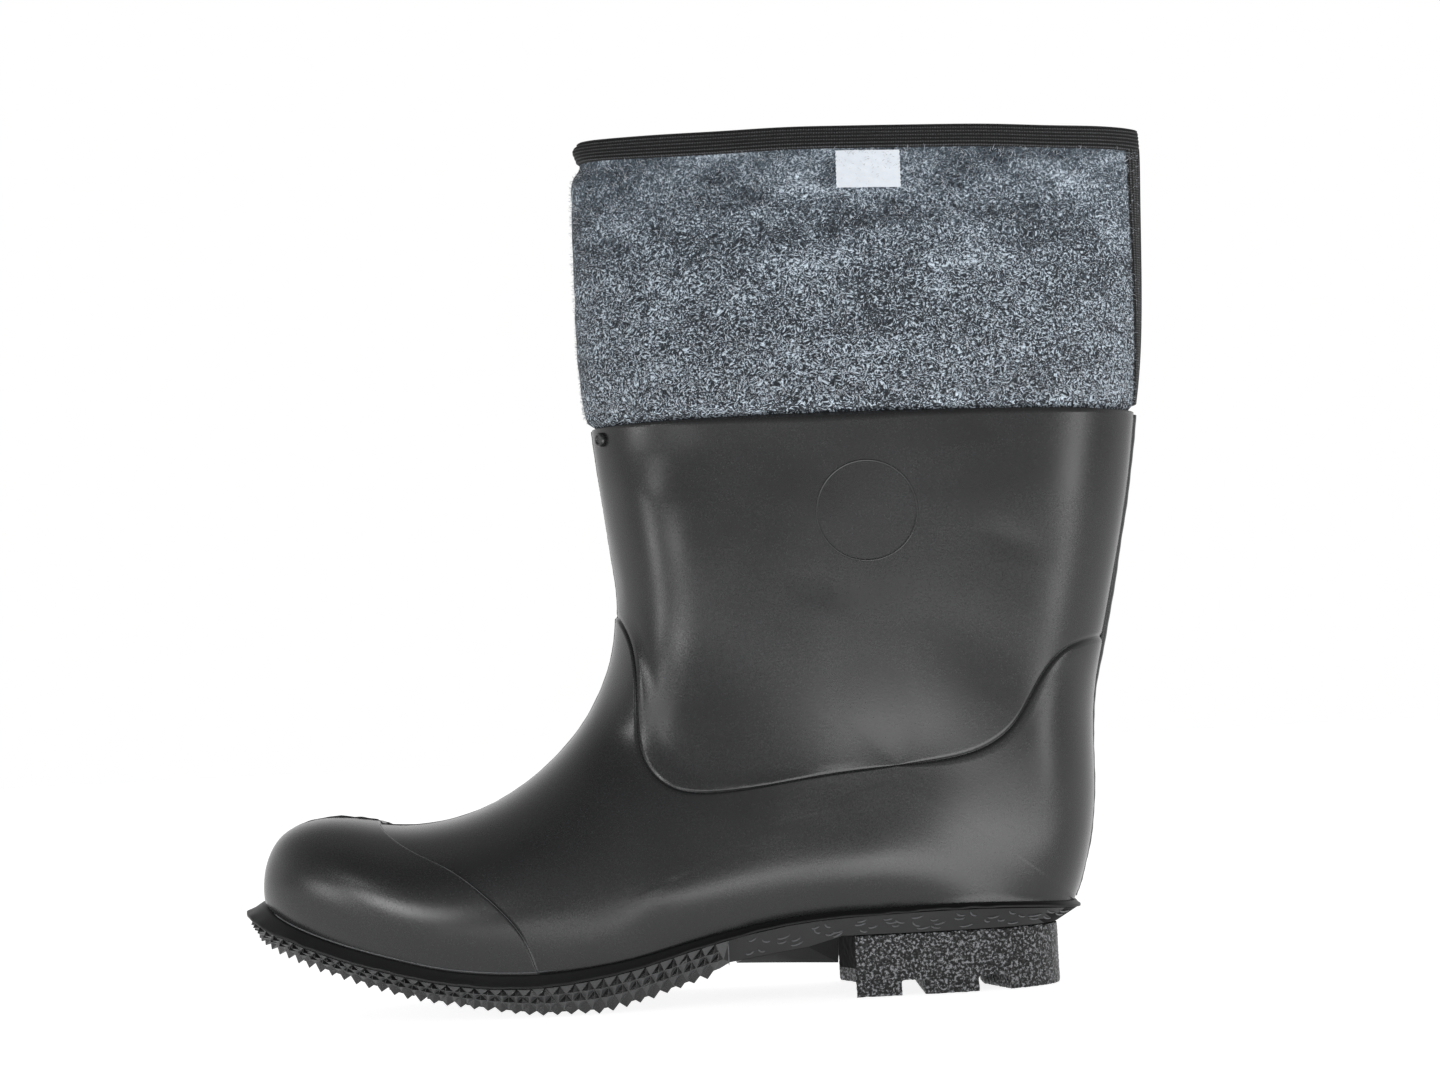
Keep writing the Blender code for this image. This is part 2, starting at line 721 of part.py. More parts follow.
def build_outsole(material, parent):
    outer_tread, outer_seat = side_wall(OUTER)
    inner_tread, inner_seat = side_wall(INNER)
    outer = np.concatenate([outer_tread, outer_seat])
    inner = np.concatenate([inner_tread, inner_seat])
    outer[0, 4, 1] = outer[0, 3, 1]
    around = np.concatenate([outer, inner[-2:0:-1]])
    size = len(around)
    studs = len(outer_tread)
    faces = []
    for i in range(size):
        j = (i + 1) % size
        at = min(i, size - i)
        for k in range(4):
            a, b = i * 5 + k, j * 5 + k
            corner = (a, b, b + 1, a + 1)
            even = (at + k) % 2 == 0
            if k < 3 and at < studs:
                cut = ((0, 1, 2), (0, 2, 3)) if even else ((0, 1, 3), (1, 2, 3))
                faces += [tuple(corner[n] for n in part) for part in cut]
            else:
                faces.append(corner)
    top, bottom = [], []
    for i in range(size // 2):
        quad = dict.fromkeys([i, i + 1, (size - i - 1) % size, (size - i) % size])
        top.append([k * 5 for k in quad])
        bottom.append([k * 5 + 4 for k in quad])
    bm = bmesh.new()
    made = [bm.verts.new(point * MM) for point in around.reshape(-1, 3)]
    for face in faces + top:
        bm.faces.new([made[i] for i in face])
    under = [bm.faces.new([made[i] for i in face]) for face in bottom]
    raise_bars(bm, under[:studs - 1])
    bmesh.ops.remove_doubles(bm, verts=bm.verts, dist=WELD)
    bmesh.ops.triangulate(bm, faces=bm.faces)
    bmesh.ops.recalc_face_normals(bm, faces=bm.faces)
    return add_to_scene("outsole", bm, material, parent)


def raise_bars(bm, under):
    """Bars across the tread, pulled down from groups of faces under the forefoot."""
    groups = {}
    for i, face in enumerate(under):
        x = face.calc_center_median().x / MM
        if BAR_START < x < BAR_END and i % BAR_PERIOD < BAR_STEPS:
            groups.setdefault(i // BAR_PERIOD, []).append(face)
    for group in groups.values():
        pulled = bmesh.ops.extrude_face_region(bm, geom=group)["geom"]
        bmesh.ops.delete(bm, geom=group, context="FACES_ONLY")
        for vertex in pulled:
            if isinstance(vertex, bmesh.types.BMVert):
                vertex.co.z = float(rocker_z(vertex.co.x / MM)) * MM


def prism(name, plan, low, high, material, parent):
    sections = np.stack([np.column_stack([plan, np.full(len(plan), z)]) for z in (low, high)])
    return loft(name, sections, material, parent)


def build_heel(material, parent):
    sides = []
    for side, front in zip((OUTER, INNER), HEEL_FRONT):
        fine = np.linspace(0, math.pi, 4000)
        start = np.interp(front, outline("heel", side, fine)[0], fine)
        turns = start + (math.pi - start) * np.linspace(0, 1, HEEL_COLUMNS)
        sides.append(np.column_stack(outline("heel", side, turns)))
    outer, inner = sides
    heel = prism("heel", np.concatenate([outer, inner[-2::-1]]), 0, HEEL_HEIGHT, material, parent)
    front = [(FRONT_GROOVE[0], -CUTTER_REACH), (FRONT_GROOVE[1], -CUTTER_REACH),
             (FRONT_GROOVE[1], CUTTER_REACH), (FRONT_GROOVE[0], CUTTER_REACH)]
    back = [(BACK_GROOVE_FRONT, -CUTTER_REACH), (BACK_GROOVE_REAR, -CUTTER_REACH),
            (BACK_GROOVE_MIDDLE, -BACK_GROOVE_HALF), (BACK_GROOVE_MIDDLE, BACK_GROOVE_HALF),
            (BACK_GROOVE_REAR, CUTTER_REACH), (BACK_GROOVE_FRONT, CUTTER_REACH)]
    for name, plan in (("front_groove", front), ("back_groove", back)):
        cutter = prism(name, np.array(plan), -CUTTER_DROP, GROOVE_DEPTH, material, parent)
        cutter.hide_render = True
        cutter.display_type = "WIRE"
        cut = heel.modifiers.new(name, "BOOLEAN")
        cut.operation = "DIFFERENCE"
        cut.object = cutter
    return heel


def felt_ring(f, grow=0.0, inside=False):
    """Ring of the felt leg above the rubber, grown outwards or drawn to its inner face."""
    part = {name: spline(FELT_RINGS, FELT[name], f) for name in FELT}
    return grown(part, grow, inside)


def tucked_ring(s, grow=0.0, inside=False):
    """Ring of the felt leg inside the rubber."""
    part = upper_section(s)
    part["half"] = part["outer"]
    return grown(part, grow - TUCK_CLEAR, inside)


def grown(part, grow, inside):
    ring = dict(part)
    ring["base_x"] = part["base_x"] + grow - (FELT_SEAM_DEPTH if inside else 0)
    ring["top_x"] = part["top_x"] - grow + (FELT_WALL if inside else 0)
    ring["half"] = part["half"] + grow - (FELT_WALL if inside else 0)
    ring["low"] = np.maximum(part["low"], 2.0) if inside else part["low"]
    return ring


def ring_points(ring, angles, sides, lift=0.0):
    """Points round a level ring."""
    shape = (ring["widest"], ring["low"], ring["high"], 0.0)
    reach = reach_of(angles, *shape)
    x = ring["base_x"] + reach * (ring["top_x"] - ring["base_x"])
    z = ring["base_z"] + reach * (ring["top_z"] - ring["base_z"]) + lift
    y = sides * ring["half"] * spread_of(reach, *shape)
    return np.stack([x, y, z], axis=-1)


def felt_angles():
    """Angles and sides all round a felt ring."""
    angles, sides = both_sides(np.linspace(0, math.pi, FELT_COLUMNS + 1))
    return angles[:-1], sides[:-1]


def build_felt_shaft(material, parent):
    angles, sides = felt_angles()
    outside, inside = [], []
    rings = [(tucked_ring, s, 0.0) for s in TUCK_STATIONS]
    rings.append((tucked_ring, COLLAR, TUCK_LIFT))
    rings += [(felt_ring, f, 0.0) for f in FELT_RINGS]
    for make, place, lift in rings:
        outside.append(ring_points(make(place), angles, sides, lift))
        inside.append(ring_points(make(place, inside=True), angles, sides, lift))
    loops = np.array(outside + inside[::-1])
    return loft("felt_shaft", loops.transpose(1, 0, 2), material, parent, closed=True)


def build_top_binding(material, parent):
    angles, sides = felt_angles()
    height = FELT["base_z"][-1] - FELT["base_z"][-2]
    low = FELT_TOP - TAPE_HEIGHT / height
    near, far = TAPE_GAP, TAPE_GAP + TAPE_THICK
    path = (
        (low, far, False, 0), (FELT_TOP, far, False, far), (FELT_TOP, -far, True, far),
        (low, -far, True, 0), (low, -near, True, 0), (FELT_TOP, -near, True, near),
        (FELT_TOP, near, False, near), (low, near, False, 0),
    )
    loops = [ring_points(felt_ring(f, grow, inside), angles, sides, lift)
             for f, grow, inside, lift in path]
    return loft("top_binding", np.array(loops).transpose(1, 0, 2), material, parent, closed=True)


def seam_angle(f, distance):
    """Angle on a felt ring at a distance round from the back seam."""
    fine = np.linspace(0, 1, 300)
    points = ring_points(felt_ring(f), fine, OUTER)
    run = np.linalg.norm(np.diff(points, axis=0), axis=1)
    return np.interp(distance, np.concatenate([[0], np.cumsum(run)]), fine)


def build_back_binding(material, parent):
    share = np.linspace(-1, 1, 7)
    sides = np.where(share < 0, OUTER, INNER)
    height = FELT["base_z"][-1] - FELT["base_z"][-2]
    top = FELT_TOP - (TAPE_HEIGHT + SEAT_GAP) / height
    sections = []
    for f in np.linspace(0.05, top, 10):
        angles = np.abs(share) * seam_angle(f, BACK_TAPE_SIDE)
        outer = ring_points(felt_ring(f, TAPE_GAP + TAPE_THICK), angles, sides)
        inner = ring_points(felt_ring(f, TAPE_GAP), angles, sides)
        sections.append(np.concatenate([outer, inner[::-1]]))
    return loft("back_binding", np.array(sections), material, parent)


def felt_side(x, z, grow):
    """Point on the felt's outer side at a place seen from the side."""
    fine = np.linspace(0, FELT_TOP, 200)
    ring = felt_ring(fine)
    reach = (x - ring["base_x"]) / (ring["top_x"] - ring["base_x"])
    f = np.interp(z, ring["base_z"] + reach * (ring["top_z"] - ring["base_z"]), fine)
    ring = felt_ring(f, grow)
    reach = (x - ring["base_x"]) / (ring["top_x"] - ring["base_x"])
    spread = spread_of(reach, ring["widest"], ring["low"], ring["high"], 0.0)
    return np.array([x, OUTER * ring["half"] * spread, z])


def build_label(material, parent):
    xs = np.linspace(*LABEL_X, 6)
    sections = []
    for z in np.linspace(*LABEL_Z, 4):
        back = [felt_side(x, z, TAPE_GAP) for x in xs]
        front = [felt_side(x, z, TAPE_GAP + LABEL_THICK) for x in xs]
        sections.append(back + front[::-1])
    return loft("label", np.array(sections), material, parent)


def build_front_stud(material, parent):
    s, turn = np.meshgrid(np.linspace(*STUD_STATIONS, 60), np.linspace(*STUD_TURNS, 90))
    points = upper_point(s, turn, OUTER)
    miss = np.hypot(points[..., 0] - STUD_PLACE[0], points[..., 2] - STUD_PLACE[1])
    best = np.unravel_index(np.argmin(miss), miss.shape)
    place = (np.array([s[best]]), np.array([turn[best]]))
    axis = upper_normal(*place, OUTER)[0]
    seat = upper_point(*place, OUTER)[0] + axis * (STUD_SEAT - SHAFT_SET_BACK)
    level = np.cross(axis, (0, 0, 1.0))
    level /= np.linalg.norm(level)
    up = np.cross(level, axis)
    around = np.linspace(0, 2 * math.pi, 16, endpoint=False)
    ring = np.cos(around)[:, None] * level + np.sin(around)[:, None] * up
    profile = ((STUD_RADIUS, 0.0), (STUD_RADIUS, 0.6 * STUD_RISE), (0.8 * STUD_RADIUS, STUD_RISE),
               (0.5 * STUD_RADIUS, STUD_RISE), (0.42 * STUD_RADIUS, 0.7 * STUD_RISE))
    sections = np.array([seat + ring * radius + axis * rise for radius, rise in profile])
    return loft("front_stud", sections, material, parent)


def centre_over_floor(root):
    """Move the model so that its box is centred over the origin."""
    bpy.context.view_layer.update()
    corners = [child.matrix_world @ vertex.co
               for child in root.children if not child.hide_render
               for vertex in child.data.vertices]
    for axis in (0, 1):
        values = [corner[axis] for corner in corners]
        root.location[axis] = -(min(values) + max(values)) / 2


def main():
    for old in list(bpy.data.objects):
        bpy.data.objects.remove(old, do_unlink=True)
    root = bpy.data.objects.new("boot", None)
    bpy.context.scene.collection.objects.link(root)
    rubber = principled("rubber", (0.035, 0.036, 0.038), 0.45)
    tread = principled("tread_rubber", (0.03, 0.031, 0.033), 0.55)
    felt = principled("felt", (0.16, 0.18, 0.2), 0.95)
    tape = principled("tape", (0.012, 0.012, 0.014), 0.8)
    woven = principled("woven_label", (0.85, 0.85, 0.85), 0.85)
    board = principled("insole_board", (0.2, 0.2, 0.2), 0.9)
    button = principled("stud_rubber", (0.025, 0.025, 0.027), 0.4)
    build_upper(rubber, root)
    build_back_strip(rubber, root)
    build_welt(rubber, root)
    build_outsole(tread, root)
    build_heel(tread, root)
    build_insole(board, root)
    build_felt_shaft(felt, root)
    build_top_binding(tape, root)
    build_back_binding(tape, root)
    build_label(woven, root)
    build_front_stud(button, root)
    centre_over_floor(root)


main()
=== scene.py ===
"""Looks of a lined rubber boot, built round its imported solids.

The drawing's sizes are millimetres: X from the toe to the heel, the outer side of the foot towards
-Y, the floor at Z = 0. A piece's points move into the frame, in metres, as the piece is made.
"""
import math

import bmesh
import bpy
import numpy as np
from mathutils import Matrix, Vector, noise


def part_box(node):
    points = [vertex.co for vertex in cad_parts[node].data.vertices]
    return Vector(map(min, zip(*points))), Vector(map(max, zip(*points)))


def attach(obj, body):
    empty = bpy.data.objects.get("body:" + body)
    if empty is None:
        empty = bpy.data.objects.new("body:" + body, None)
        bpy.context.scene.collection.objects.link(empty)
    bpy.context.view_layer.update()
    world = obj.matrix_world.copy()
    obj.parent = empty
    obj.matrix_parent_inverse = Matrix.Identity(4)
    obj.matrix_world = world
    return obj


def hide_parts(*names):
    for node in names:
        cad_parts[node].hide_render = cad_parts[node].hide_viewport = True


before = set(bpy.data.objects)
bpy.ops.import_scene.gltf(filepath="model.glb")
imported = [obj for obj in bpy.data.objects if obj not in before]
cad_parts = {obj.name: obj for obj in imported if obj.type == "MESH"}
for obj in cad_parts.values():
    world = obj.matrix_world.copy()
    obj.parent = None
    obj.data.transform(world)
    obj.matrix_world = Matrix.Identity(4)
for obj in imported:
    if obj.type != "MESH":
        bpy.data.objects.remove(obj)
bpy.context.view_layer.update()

MM = 0.001
WELD = 2e-6
TINY = 1e-6
NEARLY = 0.999
OUTER, INNER = -1, 1

RUBBER_WALL = 2.6
CAP_RAISE = 1.2
SHAFT_SET_BACK = 0.7
FELT_WALL = 4.5
FELT_SEAM_DEPTH = 9.0
TAPE_GAP = 0.45
TAPE_THICK = 0.9
TAPE_HEIGHT = 8.0


def table(names, *rows):
    """Named columns from rows of numbers."""
    return {name: np.array(column, float) for name, column in zip(names.split(), zip(*rows))}


def spline(knots, values, at):
    """Natural cubic curve through (knots, values), read at the given places."""
    at = np.asarray(at, float)
    gap = np.diff(knots)
    slope = np.diff(values) / gap
    count = len(knots)
    system = np.eye(count)
    right = np.zeros(count)
    for i in range(1, count - 1):
        system[i, i - 1:i + 2] = gap[i - 1], 2 * (gap[i - 1] + gap[i]), gap[i]
        right[i] = 6 * (slope[i] - slope[i - 1])
    bend = np.linalg.solve(system, right)
    i = np.clip(np.searchsorted(knots, at) - 1, 0, count - 2)
    a = (knots[i + 1] - at) / gap[i]
    b = 1 - a
    curve = ((a ** 3 - a) * bend[i] + (b ** 3 - b) * bend[i + 1]) * gap[i] ** 2 / 6
    return a * values[i] + b * values[i + 1] + curve


def smooth(share):
    """Soft step from 0 to 1."""
    share = np.clip(share, 0, 1)
    return share * share * (3 - 2 * share)


def ripple(points, size, seed):
    """Smooth uneven waves of about the given size, between about -1 and 1."""
    rng = np.random.default_rng(seed)
    total = np.zeros(points.shape[:-1])
    waves = 7
    for _ in range(waves):
        direction = rng.normal(size=3)
        direction /= np.linalg.norm(direction)
        length = size * rng.uniform(0.7, 1.5)
        total += np.sin(points @ direction * (2 * math.pi / length) + rng.uniform(0, 2 * math.pi))
    return total / math.sqrt(waves)


def unit(vectors):
    """Vectors brought to length one."""
    return vectors / np.maximum(np.linalg.norm(vectors, axis=-1, keepdims=True), TINY)


def lengths(points):
    """Distance run along a path of points, or the mean one along a sheet of paths, from 0."""
    steps = np.linalg.norm(np.diff(points, axis=0), axis=-1)
    steps = steps.reshape(len(steps), -1).mean(axis=1)
    return np.concatenate([[0], np.cumsum(steps)])


def circle(steps):
    """Angles once round, the first not repeated."""
    return np.linspace(0, 2 * math.pi, steps, endpoint=False)


# Plan of the sole: half widths along the foot, rounded off at both ends
SOLE_LENGTH = 305.0
PLAN = table(
    "x outer inner",
    (0, 52.0, 54.0), (45, 52.6, 54.4), (85, 54.0, 53.6), (115, 54.4, 50.0), (150, 48.4, 43.0),
    (190, 41.2, 38.8), (230, 42.0, 41.2), (265, 46.6, 46.2), (305, 50.0, 50.0),
)
TOE_BLUNT = 2.6
HEEL_BLUNT = 3.0
TOE_SWING = 7.0
SWING_END = 120.0

# Outlines drawn inside the sole's rim: toe end, heel end, inset at the sides
OUTLINES = {
    "rim": (-1.4, SOLE_LENGTH, 0.0),
    "welt_top": (4.6, 303.6, 2.0),
    "feather": (7.4, 302.8, 3.5),
    "insole": (10.2, 298.2, 8.0),
    "tread_top": (1.0, 304.0, 1.6),
    "tread_foot": (3.6, 296.0, 4.0),
    "waist_top": (1.0, 304.0, 2.8),
    "waist_foot": (3.6, 296.0, 3.6),
}

# Feather line, where the upper's wall meets the sole
FEATHER = table(
    "x z",
    (0, 45.2), (6, 41.9), (14, 37.0), (24, 32.4), (37, 27.8), (57, 22.2), (75, 18.0), (90, 16.1),
    (108, 15.4), (128, 16.7), (145, 19.2), (164, 23.6), (180, 26.8), (200, 29.8), (226, 31.2), (268, 31.6),
    (290, 30.5), (305, 29.2),
)

# Height of the welt's band along the foot
WELT = table(
    "x height",
    (0, 5.2), (60, 4.8), (110, 4.6), (150, 3.8), (185, 2.6), (215, 2.0), (260, 1.8), (305, 2.2),
)
# How much lower the band is drawn at the toe than it is in the solids
TOE_SLIM = table(
    "x less",
    (0, 1.2), (10, 1.9), (20, 2.3), (40, 1.5), (64, 1.2), (88, 0.5), (110, 0.0), (305, 0.0),
)
WELT_EDGE = 0.8
WELT_GAP = 0.4
SEAT_GAP = 0.3

# Lower edge of the waist and of the heel seat
WAIST = table(
    "x z",
    (170, 14.2), (184, 16.0), (200, 18.2), (210, 19.3), (216, 21.9), (310, 21.9),
)

# Sections of the upper from toe to collar: a chord from base (feather line, then the back
# seam) to top (toe, instep, shin), half widths, where it is widest, and how round its ends are
UPPER = table(
    "base_x base_z top_x top_z outer inner widest low  high",
    (7.4, 40.9, 7.4, 41.6, 0.0, 0.0, 0.25, 2.20, 2.30),
    (8.9, 40.0, 7.5, 47.6, 13.4, 14.0, 0.25, 2.20, 2.30),
    (12.4, 37.6, 8.1, 54.6, 20.8, 21.6, 0.25, 2.20, 2.30),
    (18.8, 34.1, 11.0, 61.8, 27.8, 29.0, 0.25, 2.20, 2.30),
    (29.4, 30.1, 17.1, 67.5, 34.2, 35.6, 0.25, 2.20, 2.30),
    (42.4, 26.0, 28.7, 70.5, 39.8, 41.4, 0.25, 2.20, 2.28),
    (59.0, 21.7, 43.0, 69.7, 44.8, 46.2, 0.25, 2.20, 2.24),
    (77.0, 17.7, 60.0, 67.8, 48.4, 49.6, 0.25, 2.20, 2.18),
    (97.0, 15.7, 80.0, 70.2, 51.0, 50.6, 0.25, 2.20, 2.12),
    (119.0, 15.9, 98.0, 77.6, 51.8, 49.0, 0.26, 2.20, 2.08),
    (142.0, 18.7, 113.6, 88.8, 49.4, 46.0, 0.27, 2.20, 2.06),
    (166.0, 24.0, 125.5, 101.6, 46.0, 43.2, 0.28, 2.20, 2.06),
    (192.0, 28.8, 133.0, 114.2, 43.2, 41.4, 0.30, 2.20, 2.06),
    (220.0, 31.0, 137.2, 125.2, 41.8, 40.4, 0.34, 2.20, 2.06),
    (248.0, 31.6, 139.2, 135.6, 41.0, 40.0, 0.36, 2.25, 2.08),
    (271.0, 31.5, 139.8, 144.6, 40.6, 40.0, 0.38, 2.35, 2.10),
    (287.0, 30.7, 139.6, 152.1, 40.4, 40.0, 0.40, 2.45, 2.12),
    (297.5, 29.9, 138.9, 158.6, 40.2, 40.0, 0.42, 2.65, 2.14),
    (301.5, 29.5, 138.3, 163.6, 40.1, 40.0, 0.44, 2.85, 2.16),
    (302.8, 29.4, 137.8, 168.1, 40.0, 40.0, 0.45, 3.00, 2.18),
    (305.4, 35.6, 137.3, 172.6, 40.0, 40.0, 0.45, 3.00, 2.20),
    (308.9, 47.1, 136.8, 177.1, 40.0, 40.0, 0.45, 2.95, 2.20),
    (311.6, 61.6, 136.3, 181.6, 40.0, 40.0, 0.45, 2.85, 2.20),
    (312.8, 80.6, 135.7, 186.6, 40.0, 40.0, 0.45, 2.75, 2.20),
    (314.1, 100.6, 135.1, 191.6, 40.0, 40.0, 0.46, 2.65, 2.20),
    (318.6, 120.6, 134.6, 196.1, 40.0, 40.0, 0.46, 2.55, 2.20),
    (323.9, 141.6, 134.2, 200.1, 40.0, 40.0, 0.47, 2.45, 2.20),
    (329.0, 163.6, 133.8, 203.8, 40.0, 40.0, 0.47, 2.38, 2.20),
    (333.4, 185.6, 133.5, 207.1, 40.0, 40.0, 0.48, 2.30, 2.20),
    (336.6, 206.6, 133.3, 210.1, 40.0, 40.0, 0.50, 2.25, 2.20),
)
STATIONS = np.arange(len(UPPER["base_x"]), dtype=float)
COLLAR = STATIONS[-1]
HEEL_STATION = 19.0

# Rear edge of the toe cap and top edge of the galosh, as seen from the side
CAP_LINE = table(
    "x z",
    (48.6, 69.5), (56.5, 63.2), (67.9, 56.9), (79.0, 51.6), (89.6, 44.1), (98.2, 36.1), (104.8, 27.1),
    (109.0, 15.5),
)
GALOSH_LINE = table(
    "x z",
    (139.7, 140.6), (144.0, 132.6), (146.5, 120.6), (146.6, 102.6), (148.0, 90.1), (152.0, 82.6),
    (160.0, 76.8), (172.0, 75.0), (211.0, 78.8), (250.0, 82.0), (268.0, 85.2), (279.0, 91.2),
    (291.0, 107.2), (302.0, 119.2), (319.5, 124.2),
)

# Rings of the felt leg above the rubber's edge
FELT = table(
    "base_x base_z top_x top_z half widest low  high",
    (336.0, 210.0, 132.6, 213.4, 40.4, 0.50, 2.00, 2.2),
    (337.6, 219.1, 131.4, 222.6, 39.4, 0.50, 1.90, 2.2),
    (339.6, 235.6, 130.4, 239.6, 37.4, 0.50, 1.78, 2.2),
    (341.2, 259.6, 130.0, 263.6, 33.4, 0.50, 1.68, 2.1),
    (342.4, 285.6, 130.2, 289.6, 28.0, 0.50, 1.62, 2.0),
    (343.2, 303.6, 132.0, 307.6, 23.6, 0.50, 1.60, 2.0),
    (343.0, 312.8, 133.4, 317.2, 21.0, 0.50, 1.60, 2.0),
)
FELT_RINGS = np.arange(len(FELT["half"]), dtype=float)
FELT_TOP = FELT_RINGS[-1]
FELT_LAST_STEP = FELT["base_z"][-1] - FELT["base_z"][-2]
TUCK_CLEAR = RUBBER_WALL + 0.5


def half_width(kind, side, x):
    """Half width of one of the sole's outlines."""
    toe, heel, inset = OUTLINES[kind]
    x = np.clip(x, toe, heel)
    end = 2 * (x - toe) / (heel - toe) - 1
    blunt = np.where(end < 0, TOE_BLUNT, HEEL_BLUNT)
    rounding = (1 - np.abs(end) ** blunt) ** (1 / blunt)
    outer = spline(PLAN["x"], PLAN["outer"], x)
    inner = spline(PLAN["x"], PLAN["inner"], x)
    return rounding * (np.where(side < 0, outer, inner) - inset)


def swing(x):
    """How far the toe turns towards the inner side."""
    return TOE_SWING * np.clip(1 - x / SWING_END, 0, 1) ** 2


def outline(kind, side, turn):
    """Plan points of an outline, turn running from the toe (0) to the heel (pi)."""
    toe, heel = OUTLINES[kind][:2]
    x = toe + (heel - toe) * (1 - np.cos(turn)) / 2
    return x, side * half_width(kind, side, x) + swing(x)


def feather_z(x):
    return spline(FEATHER["x"], FEATHER["z"], x)


def spread_of(reach, widest, low, high, foot):
    """Share of the half width at a share of the chord, foot being the share at its base."""
    below = np.clip((widest - reach) / widest, 0, 1)
    above = np.clip((reach - widest) / (1 - widest), 0, 1)
    lower = (1 - (1 - foot ** low) * below ** low) ** (1 / low)
    upper = (1 - above ** high) ** (1 / high)
    return np.where(reach < widest, lower, upper)


def reach_of(turn, widest, low, high, foot):
    """Share of the chord at an angle, from its base (0) to its top (pi)."""
    cosine = np.abs(np.cos(turn))
    rounded = cosine ** (2 / low)
    even = 1 - 2 * turn / math.pi
    below = widest * (1 - rounded - (even - rounded) * foot ** 2)
    above = widest + (1 - widest) * cosine ** (2 / high)
    return np.where(turn < math.pi / 2, below, above)


def upper_section(s):
    """Section of the upper at station s."""
    part = {name: spline(STATIONS, UPPER[name], s) for name in UPPER}
    part["base_z"] = np.where(s <= HEEL_STATION, feather_z(part["base_x"]), part["base_z"])
    return part


def on_chord(part, reach):
    """Place (x, z) in the side view at a share of a section's chord."""
    x = part["base_x"] + reach * (part["top_x"] - part["base_x"])
    return x, part["base_z"] + reach * (part["top_z"] - part["base_z"])


def rounding_of(part, foot=0.0):
    """How a section is rounded: where it is widest, its two ends, and the share at its base."""
    return part["widest"], part["low"], part["high"], foot


def upper_shape(part, s, side):
    """Half width of one side of the upper's section, and its rounding."""
    width = np.maximum(np.where(side < 0, part["outer"], part["inner"]), TINY)
    foot = np.clip(half_width("feather", side, part["base_x"]) / width, 0, NEARLY)
    return width, rounding_of(part, np.where(s < HEEL_STATION, foot, 0.0))


def upper_point(s, turn, side):
    """Point on the upper's plain outer surface."""
    part = upper_section(s)
    width, shape = upper_shape(part, s, side)
    reach = reach_of(turn, *shape)
    x, z = on_chord(part, reach)
    y = side * width * spread_of(reach, *shape) + swing(part["base_x"])
    return np.stack([x, y, z], axis=-1)


def upper_normal(s, turn, side):
    """Outward direction of the upper's surface."""
    small = 0.01
    along = upper_point(np.clip(s + small, 0, COLLAR), turn, side)
    along = along - upper_point(np.clip(s - small, 0, COLLAR), turn, side)
    across = upper_point(s, np.clip(turn + small, 0, math.pi), side)
    across = across - upper_point(s, np.clip(turn - small, 0, math.pi), side)
    ridge = (turn > math.pi - small) | ((turn < small) & (s >= HEEL_STATION))
    across = np.where(ridge[..., None], np.array([0.0, 1.0, 0.0]), across)
    normal = unit(np.cross(along, across))
    part = upper_section(s)
    x, z = on_chord(part, 0.5)
    middle = np.stack([x, swing(part["base_x"]), z], axis=-1)
    outward = np.sum(normal * (upper_point(s, turn, side) - middle), axis=-1, keepdims=True)
    return normal * np.where(outward < 0, -1, 1)


def lifted(s, turn, side, rise):
    """Points at a height over the upper's plain surface."""
    return upper_point(s, turn, side) + upper_normal(s, turn, side) * np.reshape(rise, (-1, 1))


SEARCH = np.linspace(0, COLLAR, 1200)
SEARCH_SECTION = upper_section(SEARCH)
SEARCH_TURNS = np.linspace(0, math.pi, 400)


def locate(x, z):
    """Angle and station of the upper's outer side at a place seen from the side."""
    part = SEARCH_SECTION
    chord_x = part["top_x"] - part["base_x"]
    chord_z = part["top_z"] - part["base_z"]
    side_of = (x - part["base_x"]) * chord_z - (z - part["base_z"]) * chord_x
    crossing = np.nonzero((side_of[:-1] > 0) & (side_of[1:] <= 0))[0][-1]
    share = side_of[crossing] / (side_of[crossing] - side_of[crossing + 1])
    s = SEARCH[crossing] + share * (SEARCH[1] - SEARCH[0])
    here = upper_section(s)
    run = np.array([here["top_x"] - here["base_x"], here["top_z"] - here["base_z"]])
    off = np.array([x - here["base_x"], z - here["base_z"]])
    reach = np.clip(off @ run / (run @ run), 0, 1)
    shape = upper_shape(here, s, OUTER)[1]
    return np.interp(reach, reach_of(SEARCH_TURNS, *shape), SEARCH_TURNS), s


LINE_STEPS = 140


def station_line(line, turns):
    """Stations at which a smooth line drawn from the side crosses the given angles."""
    run = lengths(np.column_stack([line["x"], line["z"]]))
    fine = np.linspace(0, run[-1], LINE_STEPS)
    places = zip(spline(run, line["x"], fine), spline(run, line["z"], fine))
    angles, stations = np.array(sorted(locate(x, z) for x, z in places)).T
    angles[0], angles[-1] = 0.0, math.pi
    return np.interp(turns, angles, stations)


def felt_ring(f, grow=0.0, inside=False):
    """Ring of the felt leg above the rubber, grown outwards or drawn to its inner face."""
    part = {name: spline(FELT_RINGS, FELT[name], f) for name in FELT}
    return grown(part, grow, inside)


def tucked_ring(s, inside):
    """Ring of the felt leg inside the rubber."""
    part = upper_section(s)
    part["half"] = part["outer"]
    return grown(part, -TUCK_CLEAR, inside)


def grown(part, grow, inside):
    ring = dict(part)
    ring["base_x"] = part["base_x"] + grow - (FELT_SEAM_DEPTH if inside else 0)
    ring["top_x"] = part["top_x"] - grow + (FELT_WALL if inside else 0)
    ring["half"] = part["half"] + grow - (FELT_WALL if inside else 0)
    ring["low"] = np.maximum(part["low"], 2.0) if inside else part["low"]
    return ring


